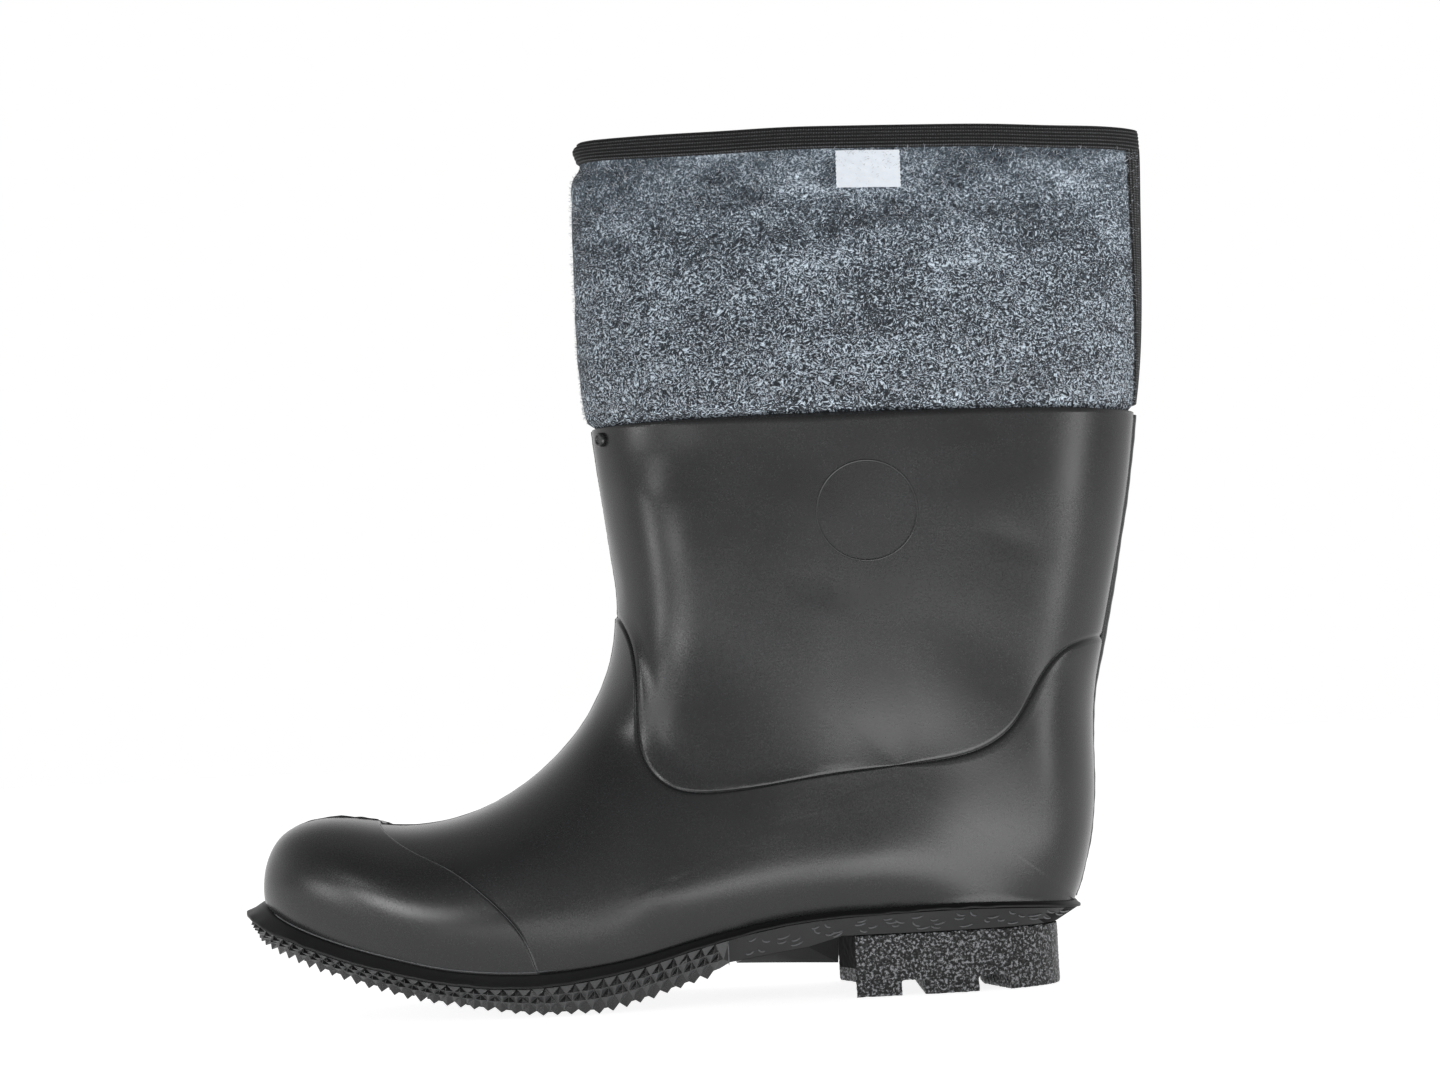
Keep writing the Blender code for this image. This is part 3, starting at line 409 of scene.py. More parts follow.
def ring_points(ring, angles, sides, lift=0.0):
    """Points round a level ring."""
    shape = rounding_of(ring)
    reach = reach_of(angles, *shape)
    x, z = on_chord(ring, reach)
    return np.stack([x, sides * ring["half"] * spread_of(reach, *shape), z + lift], axis=-1)


def felt_side(x, z, grow):
    """Point on the felt's outer side at a place seen from the side."""
    fine = np.linspace(0, FELT_TOP, 200)
    ring = felt_ring(fine)
    reach = (x - ring["base_x"]) / (ring["top_x"] - ring["base_x"])
    ring = felt_ring(np.interp(z, on_chord(ring, reach)[1], fine), grow)
    reach = (x - ring["base_x"]) / (ring["top_x"] - ring["base_x"])
    return np.array([x, OUTER * ring["half"] * spread_of(reach, *rounding_of(ring)), z])


def mirrored(values):
    """Values over both sides of a section, from those over one side's angles."""
    return np.concatenate([values, values[..., -2::-1]], axis=-1)


def both_sides(turns):
    """Angles and sides round a section, from the outer base over the top to the inner base."""
    sides = np.concatenate([np.full(len(turns), OUTER), np.full(len(turns) - 1, INNER)])
    return mirrored(turns), sides


def full_ring(columns):
    """Angles and sides once round a closed ring."""
    angles, sides = both_sides(np.linspace(0, math.pi, columns + 1))
    return angles[:-1], sides[:-1]


SOLE_TURNS = np.linspace(0, math.pi, 41)


def drawing_shift():
    """Where the drawing's origin lies in the frame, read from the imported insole."""
    low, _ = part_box("insole")
    plan = np.concatenate([np.column_stack(outline("insole", side, SOLE_TURNS))
                           for side in (OUTER, INNER)])
    return np.array([low.x / MM - plan[:, 0].min(), low.y / MM - plan[:, 1].min(), 0.0])


SHIFT = drawing_shift()


def in_frame(points):
    """The drawing's millimetre points, in the frame's metres."""
    return (np.asarray(points, float) + SHIFT) * MM


def add_object(name, data):
    """New object in the scene."""
    made = bpy.data.objects.new(name, data)
    bpy.context.scene.collection.objects.link(made)
    return made


def add_piece(mesh, slot, materials, *replaces):
    """Object for a finished mesh, named as the mesh and riding on the boot."""
    made = add_object(mesh.name, mesh)
    for material in materials:
        mesh.materials.append(material)
    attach(made, "root")
    if replaces:
        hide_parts(*replaces)
    return made


def clean_mesh(name, points, faces, inner_faces=()):
    """Smooth mesh in the frame, welded where points meet; inner faces take the second material."""
    bm = bmesh.new()
    made = [bm.verts.new(point) for point in in_frame(points)]
    for index, group in enumerate((faces, inner_faces)):
        for face in group:
            bm.faces.new([made[i] for i in face]).material_index = index
    bmesh.ops.remove_doubles(bm, verts=bm.verts, dist=WELD)
    bmesh.ops.dissolve_degenerate(bm, edges=bm.edges, dist=WELD)
    bmesh.ops.recalc_face_normals(bm, faces=bm.faces)
    return to_mesh(name, bm)


def to_mesh(name, bm):
    mesh = bpy.data.meshes.new(name)
    bm.to_mesh(mesh)
    bm.free()
    if "custom_normal" in mesh.attributes:
        mesh.attributes.remove(mesh.attributes["custom_normal"])
    mesh.shade_smooth()
    return mesh


def grid_faces(rows, columns, start=0, flip=False, wrap=False):
    """Quads of a grid of points whose indices begin at start."""
    faces = []
    for r in range(rows - 1):
        for c in range(columns if wrap else columns - 1):
            d = (c + 1) % columns
            a, b = start + r * columns + c, start + r * columns + d
            quad = (a, b, b + columns, a + columns)
            faces.append(quad[::-1] if flip else quad)
    return faces


def loft_mesh(name, sections, closed=False):
    """Swept mesh through closed rings of points, with lengths along and across as its UV map."""
    rows, columns = sections.shape[:2]
    along = lengths(sections) * MM
    across = lengths(sections.transpose(1, 0, 2)) * MM
    bm = bmesh.new()
    layer = bm.loops.layers.uv.new("weave")
    made = [bm.verts.new(point) for point in in_frame(sections.reshape(-1, 3))]
    for r in range(rows if closed else rows - 1):
        for c in range(columns):
            d, q = (c + 1) % columns, (r + 1) % rows
            corners = ((r, c), (r, d), (q, d), (q, c))
            face = bm.faces.new([made[i * columns + j] for i, j in corners])
            for loop, (i, j) in zip(face.loops, corners):
                loop[layer].uv = (along[i], across[j])
    if not closed:
        bm.faces.new(made[:columns][::-1])
        bm.faces.new(made[-columns:])
    bmesh.ops.recalc_face_normals(bm, faces=bm.faces)
    return to_mesh(name, bm)


def node(tree, kind, inputs=None, **settings):
    """New shader node with its settings, and its inputs set or linked."""
    made = tree.nodes.new("ShaderNode" + kind)
    for name, value in settings.items():
        setattr(made, name, value)
    for key, value in (inputs or {}).items():
        if isinstance(value, bpy.types.NodeSocket):
            tree.links.new(value, made.inputs[key])
        else:
            made.inputs[key].default_value = value
    return made


def ramp(tree, factor, *stops):
    """Colour or grey by factor, from (position, value) stops."""
    made = node(tree, "ValToRGB", {"Fac": factor})
    elements = made.color_ramp.elements
    while len(elements) < len(stops):
        elements.new(0.5)
    for element, (position, value) in zip(elements, stops):
        element.position = position
        element.color = (*value, 1) if isinstance(value, tuple) else (value, value, value, 1)
    return made.outputs["Color"]


def maths(tree, operation, first, second):
    return node(tree, "Math", {0: first, 1: second}, operation=operation).outputs[0]


def blend(tree, *parts):
    """Sum of values, each with its weight."""
    total, *others = [maths(tree, "MULTIPLY", value, weight) for value, weight in parts]
    for other in others:
        total = maths(tree, "ADD", total, other)
    return total


def mapped(tree, value, start, end, low, high):
    """Value whose range from start to end is brought to that from low to high."""
    inputs = {"Value": value, "From Min": start, "From Max": end, "To Min": low, "To Max": high}
    return node(tree, "MapRange", inputs).outputs["Result"]


def noise_of(tree, place, scale, detail=3.0, roughness=0.6):
    made = node(tree, "TexNoise", {"Vector": place, "Scale": scale, "Detail": detail, "Roughness": roughness})
    return made.outputs["Fac"]


def wave_of(tree, place, scale, direction, **more):
    """Bands across one direction of a place."""
    made = node(tree, "TexWave", {"Vector": place, "Scale": scale, **more}, bands_direction=direction)
    return made.outputs["Fac"]


def stretched(tree, place, scale, turn=(0.0, 0.0, 0.0)):
    """Texture place stretched by scale after a turn."""
    made = node(tree, "Mapping", {"Vector": place, "Rotation": turn, "Scale": scale})
    return made.outputs["Vector"]


def new_material(name, **sockets):
    """Material whose even values sit on the shader's own sockets."""
    made = bpy.data.materials.new(name)
    made.use_nodes = True
    tree = made.node_tree
    shader = tree.nodes["Principled BSDF"]
    for key, value in {"Metallic": 0.0, **sockets}.items():
        shader.inputs[key.replace("_", " ")].default_value = value
    place = node(tree, "TexCoord").outputs["Object"]
    return made, tree, shader, place


def paint(tree, shader, tone, *stops, socket="Base Color"):
    """Colours by tone, or values for another socket."""
    tree.links.new(ramp(tree, tone, *stops), shader.inputs[socket])


def set_bump(tree, shader, height, distance):
    bump = node(tree, "Bump", {"Height": height, "Distance": distance, "Strength": 1.0})
    tree.links.new(bump.outputs["Normal"], shader.inputs["Normal"])


def grey(value):
    """Faintly cool grey."""
    return (value, value * 1.02, value * 1.07)


SPECK_LIGHT = 6


def rubber_material(name, dark, light, rough, grain, grain_depth, specular=0.5):
    """Moulded rubber: fine grain, cloudy tone, dust specks and faint wipe marks."""
    made, tree, shader, place = new_material(name, Specular_IOR_Level=specular)
    cloud = noise_of(tree, place, 26.0, 4.0)
    fine = noise_of(tree, place, grain, 3.0, 0.7)
    specks = node(tree, "TexVoronoi", {"Vector": place, "Scale": 150.0, "Randomness": 1.0}).outputs
    near = ramp(tree, specks["Distance"], (0.0, 1.0), (0.05, 0.0))
    chosen = ramp(tree, specks["Color"], (0.8, 0.0), (0.82, 0.5))
    speck = maths(tree, "MULTIPLY", near, chosen)
    tone = maths(tree, "ADD", blend(tree, (fine, 0.55), (cloud, 0.45)), speck)
    paint(tree, shader, tone, (0.3, grey(dark)), (0.7, grey(light)), (1.0, grey(SPECK_LIGHT * light)))
    wiped = noise_of(tree, stretched(tree, place, (14.0, 14.0, 40.0)), 1.0, 5.0)
    uneven = blend(tree, (fine, 0.5), (wiped, 0.5))
    paint(tree, shader, uneven, (0.3, rough - 0.05), (0.7, rough + 0.07), socket="Roughness")
    set_bump(tree, shader, fine, grain_depth)
    return made


def pebbled_material(name):
    """Coarse moulded rubber of the heel block, with painted highlights on the pebble tops and painted shade
    in the gaps between them.
    """
    made, tree, shader, place = new_material(name, Specular_IOR_Level=0.35)
    grain = noise_of(tree, place, 1000.0, 2.0, 0.6)
    fine = noise_of(tree, place, 2200.0, 2.0, 0.7)
    tone = blend(tree, (grain, 0.75), (fine, 0.25))
    # Tone follows the bump: painted shade in the gaps, painted highlights on the pebble tops
    paint(tree, shader, tone, (0.44, grey(0.002)), (0.52, grey(0.028)), (0.6, grey(0.28)))
    paint(tree, shader, fine, (0.3, 0.3), (0.7, 0.45), socket="Roughness")
    set_bump(tree, shader, tone, 0.0012)
    return made


FELT_DARK = (0.012, 0.016, 0.021)
FELT_MID = (0.072, 0.092, 0.113)
FELT_LIGHT = (0.55, 0.63, 0.71)
FIBRE_TURNS = (0.15, 0.9, 1.7, 2.5)


def felt_material(name):
    """Pressed wool: crossing short fibres, light over dark, in soft patches, calmer towards the top."""
    made, tree, shader, place = new_material(
        name, Roughness=0.95, Specular_IOR_Level=0.15, Sheen_Weight=0.1, Sheen_Roughness=0.6)
    bent = node(tree, "TexNoise", {"Vector": place, "Scale": 160.0, "Detail": 2.0})
    bent = node(tree, "VectorMath", {0: bent.outputs["Color"], 1: (0.006, 0.006, 0.006)},
                operation="MULTIPLY").outputs[0]
    place = node(tree, "VectorMath", {0: place, 1: bent}, operation="ADD").outputs[0]
    fibres = None
    for angle in FIBRE_TURNS:
        turned = stretched(tree, place, (700.0, 1000.0, 1500.0), (0.0, angle, 0.0))
        layer = noise_of(tree, turned, 1.0, 1.0, 0.6)
        fibres = layer if fibres is None else maths(tree, "MAXIMUM", fibres, layer)
    grains = noise_of(tree, place, 1250.0, 1.5, 0.7)
    height = node(tree, "SeparateXYZ", {"Vector": place}).outputs["Z"]
    contrast = mapped(tree, height, 0.215, 0.31, 4.0, 0.9)
    speckle = maths(tree, "SUBTRACT", blend(tree, (fibres, 0.9), (grains, 1.4)), 1.26)
    patches = noise_of(tree, stretched(tree, place, (34.0, 34.0, 80.0)), 1.0, 3.0)
    tone = maths(tree, "SUBTRACT", blend(tree, (patches, 1.1), (speckle, contrast)), 0.1)
    paint(tree, shader, tone, (0.1, FELT_DARK), (0.5, FELT_MID), (0.95, FELT_LIGHT))
    set_bump(tree, shader, tone, 0.0005)
    return made


def tape_material(name):
    """Black woven tape: cross threads over its ribs."""
    made, tree, shader, place = new_material(
        name, Roughness=0.75, Specular_IOR_Level=0.25, Sheen_Weight=0.05)
    weave = node(tree, "UVMap", uv_map="weave").outputs["UV"]
    threads = wave_of(tree, weave, 340.0, "X", Distortion=0.6, Detail=1.0)
    ribs = wave_of(tree, weave, 215.0, "Y", Distortion=0.2)
    fluff = noise_of(tree, place, 900.0)
    height = maths(tree, "MULTIPLY", threads, ribs)
    tone = blend(tree, (ribs, 0.4), (height, 0.3), (fluff, 0.3))
    paint(tree, shader, tone, (0.4, grey(0.0008)), (0.85, grey(0.07)))
    set_bump(tree, shader, height, 0.0004)
    return made


def label_material(name):
    """White woven label, blank."""
    made, tree, shader, place = new_material(
        name, Roughness=0.7, Specular_IOR_Level=0.3, Sheen_Weight=0.1)
    height = maths(tree, "MULTIPLY", wave_of(tree, place, 900.0, "X"), wave_of(tree, place, 700.0, "Z"))
    tone = blend(tree, (height, 0.4), (noise_of(tree, place, 300.0), 0.6))
    paint(tree, shader, tone, (0.2, (0.60, 0.64, 0.69)), (0.8, (0.74, 0.775, 0.82)))
    set_bump(tree, shader, height, 0.00008)
    return made


def cloth_material(name, dark, light):
    """Plain knitted lining cloth."""
    made, tree, shader, place = new_material(name, Roughness=0.9, Specular_IOR_Level=0.2)
    loops = node(tree, "TexVoronoi", {"Vector": stretched(tree, place, (700.0, 700.0, 1100.0))})
    loops = loops.outputs["Distance"]
    tone = blend(tree, (loops, 0.6), (noise_of(tree, place, 60.0), 0.5))
    paint(tree, shader, tone, (0.2, light), (0.8, dark))
    set_bump(tree, shader, loops, 0.0003)
    return made


def hair_material(name):
    """Loose wool fibres, lighter and darker by turns."""
    made, tree, shader, place = new_material(name, Roughness=0.8, Specular_IOR_Level=0.2)
    tone = noise_of(tree, place, 420.0, 2.0)
    paint(tree, shader, tone, (0.35, (0.16, 0.18, 0.2)), (0.65, (0.5, 0.53, 0.57)))
    return made


# Rubbers: dark and light tone, roughness, scale and depth of the grain, shine
RUBBER = rubber_material("rubber", 0.007, 0.017, 0.25, 1250.0, 0.00003)
WELT_RUBBER = rubber_material("welt_rubber", 0.004, 0.008, 0.45, 1300.0, 0.00004, 0.3)
TREAD = rubber_material("tread_rubber", 0.003, 0.009, 0.26, 1200.0, 0.00004, 0.6)
# Lighter tread rubber: painted light on the tread's faces turned down towards the bright floor
PAINTED_LIGHT_TREAD = rubber_material("painted_light_tread", 0.02, 0.06, 0.4, 1200.0, 0.00005, 0.7)
WALL_RUBBER = rubber_material("wall_rubber", 0.006, 0.012, 0.45, 1300.0, 0.00004, 0.4)
# Darker, duller rubber: painted shade under the waist and on the heel's front face
PAINTED_SHADE_RUBBER = rubber_material("painted_shade_rubber", 0.003, 0.006, 0.7, 1200.0, 0.00005, 0.1)
# Lighter rubber for the thin moulded lines and wall dashes: their lighter tone is a painted highlight
FLASH_HIGHLIGHT_RUBBER = rubber_material("flash_highlight_rubber", 0.04, 0.11, 0.35, 1200.0, 0.00005)
PEBBLED = pebbled_material("heel_rubber")
FELT_CLOTH = felt_material("felt")
TAPE = tape_material("tape")
LABEL_CLOTH = label_material("woven_label")
LINING = cloth_material("lining", (0.10, 0.105, 0.11), (0.22, 0.225, 0.23))
BOARD = cloth_material("insole_cloth", (0.12, 0.12, 0.12), (0.25, 0.25, 0.25))
FIBRE = hair_material("wool_fibre")

SIDE_COLUMNS = 108
CAP_ROWS = 28
VAMP_ROWS = 36
COUNTER_ROWS = 18
SHAFT_ROWS = 46
EDGE_ROWS = np.array([-0.11, -0.06, -0.035, -0.018, 0.0, 0.018, 0.035, 0.06, 0.11])
CAP_EDGE = 0.055
GALOSH_EDGE = 0.06
GROOVE_WIDTH = 0.05
GROOVE_DEPTH = 0.65
SEAT_OVERLAP = 0.9
EASE_STEP = 0.05
EASE_REACH = 1.3
EASE_RANGE = 3.4
SKIN_WAVE = 0.12
SKIN_WAVE_SIZE = 55.0

# Shallow folds of the outer side: two ends (x, z), depth and width
CREASES = (
    ((271.0, 165.0), (303.0, 152.0), 0.3, 5.0),
)

# Soft forms of both sides: path (x, z), rise and width
SWELLS = (
    (((158, 40), (200, 43), (242, 49)), 1.5, 13.0),
    (((146, 94), (160, 86), (178, 82)), -2.0, 16.0),
    (((210, 80), (248, 86)), -0.8, 15.0),
    (((147, 170), (150, 145), (151, 118)), 3.2, 17.0),
)
# They fade out over this height above the sole, angle from the front, and length before the back
SWELL_FOOT = 8.0
SWELL_FRONT = 0.6
SWELL_BACK = 303.0
SWELL_BACK_RUN = 25.0


def fade(value, start, run):
    """Soft step from 0 where the value is start to 1 where it is a run further."""
    return smooth((value - start) / run)


def over_sole(points):
    """Height of points over the feather line."""
    return points[..., 2] - feather_z(np.clip(points[..., 0], 0, SOLE_LENGTH))


def relief(s, cap, galosh):
    """Rise of the toe cap and fall of the shaft against the plain surface, with the galosh groove."""
    past_cap = smooth((s - cap) / CAP_EDGE + 0.5)
    past_galosh = smooth((s - galosh) / GALOSH_EDGE + 0.5)
    groove = np.exp(-((s - galosh) / GROOVE_WIDTH) ** 2)
    return CAP_RAISE * (1 - past_cap) - SHAFT_SET_BACK * past_galosh - GROOVE_DEPTH * groove


def from_line(place, start, end):
    """Distance from a line in the side view, and the share run along it."""
    start, end = np.array(start, float), np.array(end, float)
    run = end - start
    along = np.clip((place - start) @ run / (run @ run), 0, 1)
    return np.linalg.norm(place - start - along[..., None] * run, axis=-1), along


def soft_forms(points, angles):
    """Outward rise of the swells, ending before the front and back edges and over the sole."""
    rise = np.zeros(points.shape[:-1])
    for path, height, width in SWELLS:
        away = [from_line(points[..., (0, 2)], *ends)[0] for ends in zip(path, path[1:])]
        rise += height * np.exp(-(np.min(away, axis=0) / width) ** 2)
    rise *= fade(over_sole(points), 0, SWELL_FOOT)
    before_back = smooth((SWELL_BACK - points[..., 0]) / SWELL_BACK_RUN)
    return rise * fade(math.pi - angles, 0, SWELL_FRONT) * before_back


def folds(points):
    """Depth of the creases on the outer side."""
    fall = np.zeros(points.shape[:-1])
    for start, end, depth, width in CREASES:
        away, along = from_line(points[..., (0, 2)], start, end)
        fall += depth * np.sin(math.pi * np.clip(along, 0.02, 0.98)) * np.exp(-(away / width) ** 2)
    return fall * (points[..., 1] < 0)


def upper_rows(turns):
    """Rows of stations over the given angles, and the lines of cap and galosh."""
    cap = station_line(CAP_LINE, turns)
    galosh = station_line(GALOSH_LINE, turns)
    heel_share = (HEEL_STATION - cap[0]) / (galosh[0] - cap[0])
    shares = np.concatenate([np.linspace(0, heel_share, VAMP_ROWS + 1)[1:],
                             np.linspace(heel_share, 1, COUNTER_ROWS + 1)[1:-1]])
    rows = [cap * share for share in np.linspace(0, 1, CAP_ROWS + 1)[1:-1]]
    rows += [cap + edge for edge in EDGE_ROWS]
    rows += [cap + (galosh - cap) * share for share in shares]
    rows += [galosh + edge for edge in EDGE_ROWS]
    rows += [galosh + (COLLAR - galosh) * share for share in np.linspace(0, 1, SHAFT_ROWS + 1)[1:]]
    return mirrored(np.sort(np.array(rows), axis=0)), mirrored(cap), mirrored(galosh)


def skin_points(rows, angles, sides):
    """Plain outer surface over rows of stations, its width eased across the heel station."""
    even = np.arange(0, COLLAR + EASE_STEP / 2, EASE_STEP)
    s, turn = np.meshgrid(even, angles, indexing="ij")
    plain = upper_point(np.clip(s, 0, COLLAR), turn, np.broadcast_to(sides, s.shape))
    reach = int(3 * EASE_REACH / EASE_STEP)
    kernel = np.exp(-0.5 * (np.arange(-reach, reach + 1) * EASE_STEP / EASE_REACH) ** 2)
    padded = np.pad(plain[..., 1], ((reach, reach), (0, 0)), mode="edge")
    eased = sum(weight * padded[i:i + len(even)] for i, weight in enumerate(kernel / kernel.sum()))
    share = np.exp(-((even - HEEL_STATION) / EASE_RANGE) ** 4)[:, None]
    share = share * (fade(angles, 0.12, 0.8) * fade(math.pi - angles, 0, 0.5))[None, :]
    plain[..., 1] += share * (eased - plain[..., 1])
    points = np.empty(rows.shape + (3,))
    for column in range(len(angles)):
        for axis in range(3):
            points[:, column, axis] = np.interp(rows[:, column], even, plain[:, column, axis])
    return points


def toe_tip(back):
    """Tip of the feather line, moved back from the upper's plain surface."""
    x = OUTLINES["feather"][0]
    return np.array([x + back, float(swing(x)), float(feather_z(x + back))])


def upper_grids(rows, cap, galosh, angles, sides):
    """Points of the upper's outer face and of its lining, row by row from the tip of the toe."""
    outside = [np.tile(toe_tip(-CAP_RAISE), (len(angles), 1))]
    inside = [np.tile(toe_tip(RUBBER_WALL), (len(angles), 1))]
    for s, point in zip(rows, skin_points(rows, angles, sides)):
        normal = upper_normal(s, angles, sides)
        point[:, 1] += sides * soft_forms(point, angles)
        rise = relief(s, cap, galosh) - folds(point) + SKIN_WAVE * ripple(point, SKIN_WAVE_SIZE, 3)
        outside.append(point + normal * rise[:, None])
        inside.append(point - normal * RUBBER_WALL)
    return np.array(outside), np.array(inside)


def upper_faces(open_rows, columns):
    """Faces of the outer side and the wall's edges, and those of the lining."""
    count = len(open_rows)
    shift = count * columns
    faces = grid_faces(count, columns)
    for r in np.nonzero(open_rows)[0][:-1]:
        for c in (0, columns - 1):
            a = r * columns + c
            faces.append((a, a + columns, a + columns + shift, a + shift))
    for c in range(columns - 1):
        a = (count - 1) * columns + c
        faces.append((a, a + 1, a + 1 + shift, a + shift))
    return faces, grid_faces(count, columns, shift, flip=True)


def build_upper():
    """Rubber foot and shaft; returns the lines just above its feather line, outer and inner."""
    turns = np.linspace(0, math.pi, SIDE_COLUMNS + 1)
    angles, sides = both_sides(turns)
    rows, cap, galosh = upper_rows(turns)
    outside, inside = upper_grids(rows, cap, galosh, angles, sides)
    over = np.concatenate([-galosh[None], rows - galosh])
    ease_heel(outside, over)
    ease_shin(outside, over)
    open_rows = np.concatenate([[0.0], rows[:, 0]]) < HEEL_STATION + TINY
    near_base = np.clip(np.cos(angles), 0, 1)
    halves = slice(0, SIDE_COLUMNS), slice(len(angles) - 1, SIDE_COLUMNS, -1)
    for grid in (outside, inside):
        for half in halves:
            edge = grid[open_rows, half.start]
            lift = feather_z(edge[:, 0]) - edge[:, 2] - SEAT_OVERLAP
            grid[open_rows, half, 2] += lift[:, None] * near_base[half]
        grid[~open_rows, -1] = grid[~open_rows, 0]
    points = np.concatenate([outside.reshape(-1, 3), inside.reshape(-1, 3)])
    groups = [drop_collapsed(points, group) for group in upper_faces(open_rows, len(angles))]
    add_piece(clean_mesh("upper_skin", points, *groups), "rubber", [RUBBER, LINING], "upper")
    return [feather_bead(outside[open_rows][:, half]) for half in halves]


BEAD_RISE = 0.5
BEAD_COLUMNS = 40


def feather_bead(grid):
    """Line on the skin just above the feather line."""
    line = []
    for row in grid:
        height = feather_z(row[0, 0]) + BEAD_RISE
        low = row[:BEAD_COLUMNS]
        line.append([np.interp(height, low[:, 2], low[:, axis]) for axis in range(3)])
    return np.array(line)


HEEL_AXIS = 252.0
HEEL_REACH = 12.0
SHIN_AXIS = 190.0
SHIN_REACH = 19.0
FAIR_ROUND = 38.0
FAIR_LEAST = 0.005
FIT_BATCH = 300


def fitted(flat, height, known, wanted, reach):
    """Heights at the wanted points, each from a quadratic fit to the known ones around it."""
    result = []
    for part in np.array_split(wanted, 1 + len(wanted) // FIT_BATCH):
        a, b = np.moveaxis((flat[known][None] - flat[part][:, None]) / reach, -1, 0)
        terms = np.stack([np.ones_like(a), a, b, a * a, a * b, b * b], axis=-1)
        weighted = (terms * np.exp(-a * a - b * b)[..., None]).transpose(0, 2, 1)
        result.append(np.linalg.solve(weighted @ terms, weighted @ height[known][:, None])[:, 0, 0])
    return np.concatenate(result)


def fair(grid, axis, way, known, share, reach):
    """Fair a part of the upper, as distance from an upright axis, towards its back or its front."""
    x, y = way * (grid[..., 0] - axis), grid[..., 1]
    wanted = np.flatnonzero(share > FAIR_LEAST)
    radius = np.hypot(x, y)
    flat = np.stack([np.arctan2(y, x) * FAIR_ROUND, grid[..., 2]], axis=-1).reshape(-1, 2)
    scale = np.ones(radius.size)
    faired = fitted(flat, radius.ravel(), np.flatnonzero(known), wanted, reach)
    scale[wanted] = faired / radius.ravel()[wanted]
    scale = 1 + share * (scale.reshape(radius.shape) - 1)
    grid[..., 0] = axis + way * x * scale
    grid[..., 1] = y * scale


def ease_heel(grid, over):
    """Fair the heel below the galosh line."""
    x = grid[..., 0] - HEEL_AXIS
    lift = over_sole(grid)
    share = fade(x, -24, 16) * fade(-over, 0.2, 0.6) * fade(lift, 0.4, 3)
    fair(grid, HEEL_AXIS, 1, (x > -40) & (over < -0.1) & (lift > 0.1), share, HEEL_REACH)


def ease_shin(grid, over):
    """Fair the front corners and sides of the shaft over the instep, further back low down."""
    x, z = SHIN_AXIS - grid[..., 0], grid[..., 2]
    turn = np.abs(np.arctan2(grid[..., 1], x))
    start = -22 - 20 * fade(-z, -152, 16)
    share = fade(turn, 0.14, 0.2) * fade(x, start, 24) * fade(-z, -200, 24) * fade(over, 0.15, 0.5)
    fair(grid, SHIN_AXIS, -1, (x > -60) & (over > 0.12) & (z < 212), share, SHIN_REACH)


def drop_collapsed(points, faces):
    """Faces with repeated corners removed, so that poles close as triangles."""
    rounded = np.round(points, 4)
    kept = []
    for face in faces:
        corners = {tuple(rounded[i]): i for i in face}
        if len(corners) > 2:
            kept.append(list(corners.values()))
    return kept


STRIP_PROFILE = ((-2.9, -1.3), (-2.3, 0.5), (-1.3, 1.25), (-0.5, 1.45), (0.5, 1.45), (1.3, 1.25),
                 (2.3, 0.5), (2.9, -1.3))
STRIP_STEPS = 160
STRIP_SINK = 2.0
FLASH_PROFILE = ((-0.5, -0.2), (-0.2, 0.12), (0.0, 0.2), (0.2, 0.12), (0.5, -0.2))
FLASH_STEPS = 420
FLASH_START = 0.8
FLASH_PEAK = 5.6
FLASH_SPREAD = 0.9
RAG_STEP = 0.17
SEAM_END = COLLAR - 0.02


def seam_turn(s, offset, front):
    """Angle at which the surface lies offset from the middle of the front or the back."""
    part = upper_section(s)
    width = part["outer"] if offset < 0 else part["inner"]
    power = part["high"] if front else part["low"]
    turn = np.arcsin(np.clip(abs(offset) / width, 0, 1) ** (power / 2))
    return math.pi - turn if front else turn


def seam_piece(name, s, profile, front, height, *replaces):
    """Raised line along the front or back seam, its profile given as (offset, lift) pairs."""
    ends = np.array([0.0, math.pi])
    cap, galosh = (station_line(line, ends)[int(front)] for line in (CAP_LINE, GALOSH_LINE))
    seat = relief(s, cap, galosh) if front else -SHAFT_SET_BACK * fade(s, galosh, STRIP_SINK)
    rings = []
    for offset, lift in profile:
        side = OUTER if offset < 0 else INNER
        rise = seat + lift * (height if lift > 0 else 1.0)
        rings.append(lifted(s, seam_turn(s, offset, front), side, rise))
    add_piece(loft_mesh(name, np.stack(rings, axis=1)), "rubber", [RUBBER], *replaces)


def build_seams():
    """Moulded strip up the back, and ragged flash line down the front."""
    s = np.linspace(HEEL_STATION + 0.25, SEAM_END, STRIP_STEPS)
    height = 1 + 0.05 * np.sin(s * 5.1) + 0.03 * np.sin(s * 17.0)
    seam_piece("back_strip_skin", s, STRIP_PROFILE, False, height, "back_strip")
    s = np.linspace(FLASH_START, SEAM_END, FLASH_STEPS)
    over_cap = np.exp(-((s - FLASH_PEAK) / FLASH_SPREAD) ** 2)
    steps = np.arange(0, COLLAR + 1, RAG_STEP)
    ragged = np.interp(s, steps, np.random.default_rng(4).uniform(0.2, 1.6, len(steps)))
    height = 0.5 + 0.4 * ragged + 1.9 * over_cap * ragged
    seam_piece("front_flash", s, FLASH_PROFILE, True, height)


RING_PLACE = (232.9, 172.6)
RING_RADIUS = 18.0
RING_STEPS = 84
RING_PROFILE = ((-0.6, -0.3), (-0.3, 0.3), (0.0, 0.48), (0.3, 0.3), (0.6, -0.3))


